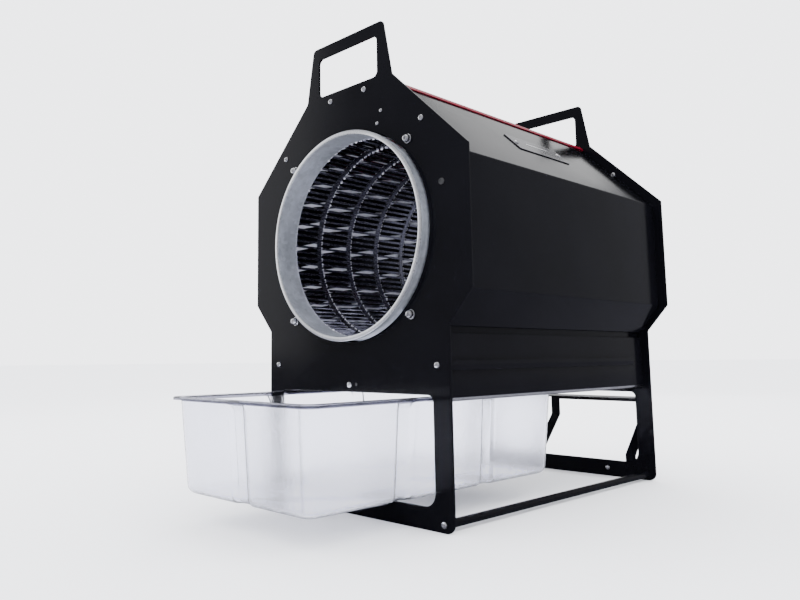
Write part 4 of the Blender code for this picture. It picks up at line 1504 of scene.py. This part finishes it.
# ---- Base --------------------------------------------------------------------------------------
@dataclass
class Base:
    """The two foot tubes, and the lipped shelf on its bent straps behind the rear plate."""

    sheet: float = 0.002
    bend: float = 0.004
    upright: float = 0.042
    base_bar: float = 0.031
    land: float = 0.0125
    strap_width: float = 0.020
    foot_high: float = 0.028

    def tubes(self) -> None:
        """Makes the tubes that tie the plates together at the floor."""
        for side in Side:
            node = f"{side.word}_foot_tube"
            low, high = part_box(node)
            radius, length = (high.z - low.z) / 2, high.y - low.y
            rings = [(0.0, 0.0), (radius, 0.0), (radius, -length), (0.0, -length)]
            tube = turned(node + "_rod", rings, 40, middle_of(node, high.y), REARWARD, BLACK)
            fit(tube, "machine", BLACK, node)

    def band(self, name: str, path: Sequence[Point], left: float, right: float) -> Piece:
        """A band across the machine, bent along a (y, z) path that is its outer face.

        Args:
            name: The piece's name.
            path: The path, run from the plate outwards.
            left: The X where it starts.
            right: The X where it ends.

        Returns:
            The piece.
        """
        return extruded_across(name, thicken(path[::-1], self.sheet), left, right, BLACK)

    def shelf(self) -> None:
        """Makes the shelf and its two straps."""
        low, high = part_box("rear_shelf")
        corners = [(low.y, high.z, 0.0), (high.y, high.z, self.bend), (high.y, low.z, 0.0)]
        top = self.band("rear_shelf_sheet", rounded(corners, 5, cyclic=False), low.x, high.x)
        fit(top, "machine", BLACK, "rear_shelf")
        for side in Side:
            node = f"{side.word}_shelf_strap"
            low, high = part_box(node)
            foot = low.y + self.sheet
            turn = self.base_bar + self.land
            left = high.x - self.strap_width
            corners = [
                (low.y, high.z, 0.0),
                (high.y, high.z, self.bend),
                (high.y, high.z - self.upright, self.bend),
                (foot, turn, self.bend),
                (foot, low.z, 0.0),
            ]
            strap = self.band(node + "_band", rounded(corners, 5, cyclic=False), left, high.x)
            fit(strap, "machine", BLACK, node)
            toe_low = Vector((low.x, low.y, low.z))
            toe_high = Vector((left + 0.002, foot, self.foot_high))
            toe = rounded_block(node + "_toe", toe_low, toe_high, 0.0005, BLACK)
            fit(toe, "machine", BLACK)
            self.strap_screw(side, high.x)

    def strap_screw(self, side: Side, right: float) -> None:
        """Sets the screw that holds one strap's foot.

        Args:
            side: Which strap it holds.
            right: The X of the strap's right edge.
        """
        spot = middle_of("shelf_screw")
        shown = side is Side.RIGHT
        spot.x = spot.x if shown else right - (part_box("right_shelf_strap")[1].x - spot.x)
        spot.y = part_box("rear_end_plate")[0].y
        nodes = ["shelf_screw"] if shown else []
        name = f"{side.word}_shelf_screw_head"
        ButtonScrew().drive_in(name, spot, FORWARD, *nodes)

    def build(self) -> None:
        """Makes the tubes, the shelf and its straps."""
        self.tubes()
        self.shelf()


# ---- Drive -------------------------------------------------------------------------------------
@dataclass
class Drive:
    """The friction drive over the rear collar, its cover, and the controls on the cover."""

    sheet: float = 0.0015
    cover_edge: float = 0.004
    tyre: float = 0.004
    knob_ribs: int = 18
    rib_depth: float = 0.0005
    motor_ribs: int = 8
    motor_rib: float = 0.0015
    bezel_gap: float = 0.0012
    bezel_width: float = 0.0024
    bezel_height: float = 0.0012

    def wheel(self) -> None:
        """Makes the tyre, the wheel in it and the shaft."""
        low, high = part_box("drive_tyre")
        middle = (low + high) / 2
        radius = (high.z - low.z) / 2
        half = (high.y - low.y) / 2
        hub = radius - self.tyre
        rings = [(hub, half), (radius - 0.0008, half), (radius, half - 0.0008)]
        rings += [(r, -along) for r, along in reversed(rings)]
        tyre = turned("drive_tyre_ring", rings, 48, middle, REARWARD, RUBBER, closed=True)
        fit(tyre, "drive", RUBBER, "drive_tyre")
        low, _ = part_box("drive_wheel")
        hub -= 0.0003
        nose = low.y - middle.y
        rings = [(0.0, half), (0.0065, half), (0.007, half - 0.001), (hub - 0.002, half - 0.001), (hub, half)]
        rings += [(hub, -half), (0.0072, -half), (0.0068, nose), (0.0, nose)]
        wheel = turned("drive_wheel_hub", rings, 36, middle, REARWARD, BLACK_PLASTIC)
        fit(wheel, "drive", BLACK_PLASTIC, "drive_wheel")
        low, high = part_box("drive_shaft")
        radius, length = (high.z - low.z) / 2, high.y - low.y
        rings = [(0.0, 0.0), (radius - 0.0004, 0.0), (radius, -0.0004), (radius, -length), (0.0, -length)]
        shaft = turned("drive_shaft_rod", rings, 28, middle_of("drive_shaft", high.y), REARWARD, STAINLESS)
        fit(shaft, "drive", STAINLESS, "drive_shaft")

    def motor(self) -> None:
        """Makes the gearbox and the motor's ribbed can."""
        low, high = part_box("gearbox")
        box = rounded_block("gearbox_case", low, high, 0.0022, ZINC)
        fit(box, "machine", ZINC, "gearbox")
        low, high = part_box("drive_motor")
        radius, length = (high.x - low.x) / 2, high.y - low.y
        valley = radius - self.motor_rib
        rings = [(0.0, 0.0), (valley - self.motor_rib, 0.0), (valley, -self.motor_rib)]
        for share in range(self.motor_ribs):
            along = -0.006 - share * (length - 0.012) / self.motor_ribs
            rings += [(valley, along), (radius, along - 0.001)]
            rings += [(radius, along - 0.0035), (valley, along - 0.0045)]
        rings += [(valley, -length), (0.0, -length)]
        can = turned("drive_motor_can", rings, 44, middle_of("drive_motor", high.y), REARWARD, STAINLESS)
        fit(can, "machine", STAINLESS, "drive_motor")

    def cover(self) -> None:
        """Folds the cover, which is open against the plate."""
        low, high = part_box("drive_cover")
        shape = block(low, high)
        front = [face for face in shape.faces if face.normal.y < -0.5]
        bmesh.ops.delete(shape, geom=front, context="FACES_ONLY")
        folds = [edge for edge in shape.edges if len(edge.link_faces) == 2]
        bmesh.ops.bevel(shape, geom=folds, offset=self.cover_edge, segments=4, profile=0.5, affect="EDGES")
        cover = piece_of("drive_cover_box", shape, BLACK)
        wall = cover.modifiers.new("wall", "SOLIDIFY")
        wall.thickness = self.sheet
        wall.offset = -1
        fit(cover, "machine", BLACK, "drive_cover")

    def knob(self) -> None:
        """Makes the speed knob with its ribs and its pointer."""
        low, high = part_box("speed_knob")
        length = high.y - low.y
        radius = (high.x - low.x) / 2
        steps = self.knob_ribs * 4
        shape = bmesh.new()
        rings = []
        grip = radius * 0.86
        profile = [(0.0, 0.0), (radius, 0.0), (radius, 0.002), (grip, 0.003), (grip, length - 0.0015)]
        profile += [(grip - 0.0012, length), (grip - 0.0022, length), (grip - 0.0028, length - 0.0006)]
        profile += [(0.0, length - 0.0006)]
        for share, along in profile:
            ring = []
            for k in range(steps):
                turn = 2 * math.pi * k / steps
                ribbed = share == grip and k % 4 < 2
                reach = share - self.rib_depth if ribbed else share
                ring.append(shape.verts.new((reach * math.cos(turn), along, reach * math.sin(turn))))
            rings.append(ring)
        for one, two in zip(rings, rings[1:]):
            bridge(shape, one, two)
        bmesh.ops.remove_doubles(shape, verts=shape.verts, dist=0.00001)
        bmesh.ops.recalc_face_normals(shape, faces=shape.faces)
        spot = middle_of("speed_knob", low.y)
        bmesh.ops.translate(shape, vec=spot, verts=shape.verts)
        knob = piece_of("speed_knob_grip", shape, BLACK_PLASTIC)
        fit(knob, "knob", BLACK_PLASTIC, "speed_knob")
        tip = Vector((spot.x + 0.0006, high.y - 0.0001, spot.z + grip - 0.003))
        root = Vector((spot.x - 0.0006, high.y - 0.0007, spot.z + 0.002))
        pointer = rounded_block("speed_knob_pointer", root, tip, 0.0002, NYLON)
        fit(pointer, "knob", NYLON)

    def dial(self) -> None:
        """Makes the ring of ticks round the knob."""
        shape = bmesh.new()
        for number in range(11):
            turn = math.radians(240 - 30 * number)
            width = 0.0005 if number % 5 else 0.0008
            made = bmesh.ops.create_cube(shape, size=1.0)["verts"]
            bmesh.ops.scale(shape, vec=(0.0022, 0.0002, width), verts=made)
            bmesh.ops.translate(shape, vec=(0.0145, 0, 0), verts=made)
            bmesh.ops.rotate(shape, verts=made, cent=(0, 0, 0), matrix=Matrix.Rotation(turn, 3, "Y"))
        spot = middle_of("speed_knob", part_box("drive_cover")[1].y + 0.0001)
        bmesh.ops.translate(shape, vec=spot, verts=shape.verts)
        ticks = piece_of("speed_dial_ticks", shape, NYLON)
        fit(ticks, "machine", NYLON)

    def switch(self) -> None:
        """Makes the rocker, dished across its middle, and the frame round it."""
        low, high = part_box("power_switch")
        middle = (low.z + high.z) / 2
        half = (high.z - low.z) / 2
        outline = [(low.y, middle - half), (low.y, middle + half)]
        for step in range(9):
            share = 1 - step / 4
            outline.append((high.y - 0.0012 * (1 - share * share), middle + half * share * 0.96))
        rocker = extruded_across("power_switch_rocker", outline, low.x, high.x, BLACK_PLASTIC)
        fit(rocker, "switch", BLACK_PLASTIC, "power_switch")
        self.bezel()

    def bezel(self) -> None:
        """Makes the flat frame on the cover round the switch."""
        low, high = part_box("power_switch")
        half_x, half_z = (high.x - low.x) / 2 + self.bezel_gap, (high.z - low.z) / 2 + self.bezel_gap
        width, tall = self.bezel_width, self.bezel_height
        loops = [rectangle(half_x + width, half_z + width, 0.002, 4), rectangle(half_x, half_z, 0.0008, 4)]
        stand = upright(middle_of("power_switch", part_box("drive_cover")[1].y + tall / 2))
        ring = cut_sheet("power_switch_bezel", loops, tall, 0.0003, stand, BLACK_PLASTIC)
        fit(ring, "machine", BLACK_PLASTIC)

    def inlet(self) -> None:
        """Makes the power inlet: a block with a shrouded well and three pins."""
        low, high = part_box("power_inlet")
        middle = (low + high) / 2
        half_x, half_z = (high.x - low.x) / 2, (high.z - low.z) / 2
        loops = [rectangle(half_x, half_z, 0.002, 4), rectangle(half_x * 0.68, half_z * 0.60, 0.002, 4)]
        thick = high.y - low.y
        shroud = cut_sheet("power_inlet_shroud", loops, thick, 0.0005, upright(middle), BLACK_PLASTIC)
        fit(shroud, "machine", BLACK_PLASTIC, "power_inlet")
        floor_low = Vector((middle.x - half_x * 0.8, low.y, middle.z - half_z * 0.8))
        floor_high = Vector((middle.x + half_x * 0.8, low.y + 0.0008, middle.z + half_z * 0.8))
        floor = rounded_block("power_inlet_floor", floor_low, floor_high, 0.0002, BLACK_PLASTIC)
        fit(floor, "machine", BLACK_PLASTIC)
        for number, (x, z) in enumerate(((-0.005, -0.0015), (0.0, 0.002), (0.005, -0.0015)), 1):
            pin_low = Vector((middle.x + x - 0.0009, low.y + 0.0008, middle.z + z - 0.0014))
            pin_high = Vector((middle.x + x + 0.0009, high.y - 0.0004, middle.z + z + 0.0014))
            pin = rounded_block(f"power_inlet_pin_{number}", pin_low, pin_high, 0.0003, STAINLESS)
            fit(pin, "machine", STAINLESS)

    def build(self) -> None:
        """Makes the drive and its controls."""
        self.wheel()
        self.motor()
        self.cover()
        self.knob()
        self.dial()
        self.switch()
        self.inlet()


# ---- Studio ------------------------------------------------------------------------------------
@dataclass(frozen=True)
class Lamp:
    """One soft panel light."""

    name: str
    spot: tuple[float, float, float]
    aim: tuple[float, float, float]
    size: Point
    power: float
    colour: Colour = (1.0, 1.0, 1.0)

    def hang(self) -> None:
        """Puts the light in the scene."""
        data = bpy.data.lights.new(self.name, "AREA")
        data.shape = "RECTANGLE"
        data.size, data.size_y = self.size
        data.energy = self.power
        data.color = self.colour
        lamp = bpy.data.objects.new(self.name, data)
        lamp.location = self.spot
        gaze = Vector(self.aim) - Vector(self.spot)
        lamp.rotation_euler = gaze.to_track_quat("-Z", "Y").to_euler()
        bpy.context.scene.collection.objects.link(lamp)


@dataclass
class Studio:
    """The camera, the pale floor, the sky and the lights."""

    eye: tuple[float, float, float] = (0.8472, -1.0598, 0.2391)
    yaw: float = -0.8182
    pitch: float = 0.1226
    roll: float = -0.0083
    lens: float = 33.36
    shift: Point = (0.0737, -0.0437)
    floor_radius: float = 30.0
    sky: Colour = (0.95, 0.96, 1.0)
    sky_power: float = 4.0
    fill_power: float = 4.0
    room_power: float = 0.55
    lamps: tuple[Lamp, ...] = (
        Lamp("overhead_panel", (0.0, 0.3, 2.4), (0.0, 0.0, 0.4), (2.4, 2.4), 28.0),
        Lamp("back_panel", (-1.6, 2.6, 1.7), (0.0, 0.0, 0.5), (2.6, 2.4), 22.0),
        Lamp("left_panel", (-2.2, -1.2, 1.0), (0.0, -0.1, 0.4), (1.4, 1.6), 12.0),
    )

    def camera(self) -> None:
        """Sets up the camera."""
        data = bpy.data.cameras.new("camera")
        data.sensor_width = 36.0
        data.lens = self.lens
        data.shift_x, data.shift_y = self.shift
        flat = math.cos(self.pitch)
        gaze = Vector((math.sin(self.yaw) * flat, math.cos(self.yaw) * flat, math.sin(self.pitch)))
        level = Vector((math.cos(self.yaw), -math.sin(self.yaw), 0.0))
        top = level.cross(gaze)
        right = math.cos(self.roll) * level + math.sin(self.roll) * top
        up = math.cos(self.roll) * top - math.sin(self.roll) * level
        turn = Matrix((right, up, -gaze)).transposed().to_4x4()
        camera = bpy.data.objects.new("camera", data)
        camera.matrix_world = Matrix.Translation(self.eye) @ turn
        bpy.context.scene.collection.objects.link(camera)
        bpy.context.scene.camera = camera

    def floor(self) -> None:
        """Lays the pale floor."""
        shape = bmesh.new()
        bmesh.ops.create_circle(shape, cap_ends=True, radius=self.floor_radius, segments=96)
        floor = piece_of("studio_floor", shape, PaleFloor())

    def surroundings(self) -> None:
        """Lights the air round the object: pale to look at, dimmer where it is reflected."""
        world = bpy.data.worlds.new("studio")
        world.use_nodes = True
        tree = world.node_tree
        tree.nodes.clear()
        paths = tree.nodes.new("ShaderNodeLightPath")
        out = tree.nodes.new("ShaderNodeOutputWorld")
        shaders = []
        for power in (self.sky_power, self.fill_power, self.room_power):
            air = tree.nodes.new("ShaderNodeBackground")
            air.inputs["Color"].default_value = (*self.sky, 1.0)
            air.inputs["Strength"].default_value = power
            shaders.append(air.outputs["Background"])
        result = shaders[0]
        for ray, shader in zip((paths.outputs["Is Diffuse Ray"], mirrored_ray(tree)), shaders[1:]):
            mix = tree.nodes.new("ShaderNodeMixShader")
            tree.links.new(ray, mix.inputs["Fac"])
            tree.links.new(result, mix.inputs[1])
            tree.links.new(shader, mix.inputs[2])
            result = mix.outputs["Shader"]
        tree.links.new(result, out.inputs["Surface"])
        bpy.context.scene.world = world

    def build(self) -> None:
        """Sets up the whole studio."""
        self.camera()
        self.floor()
        self.surroundings()
        for lamp in self.lamps:
            lamp.hang()


def main() -> None:
    """Builds the studio and every sub-assembly."""
    logging.basicConfig(level=logging.INFO, format="%(message)s")
    builders = [
        Studio(),
        EndPlate(End.FRONT, 0.184),
        EndPlate(End.REAR, 0.166),
        Screws(),
        Drum(),
        Rollers(),
        Housing(),
        Tray(),
        Base(),
        Drive(),
    ]
    for builder in builders:
        before = set(bpy.data.objects)
        builder.build()
        made = sorted(piece.name for piece in set(bpy.data.objects) - before)
        logging.info("%s: %s", type(builder).__name__, ", ".join(made))


if __name__ == "__main__":
    main()
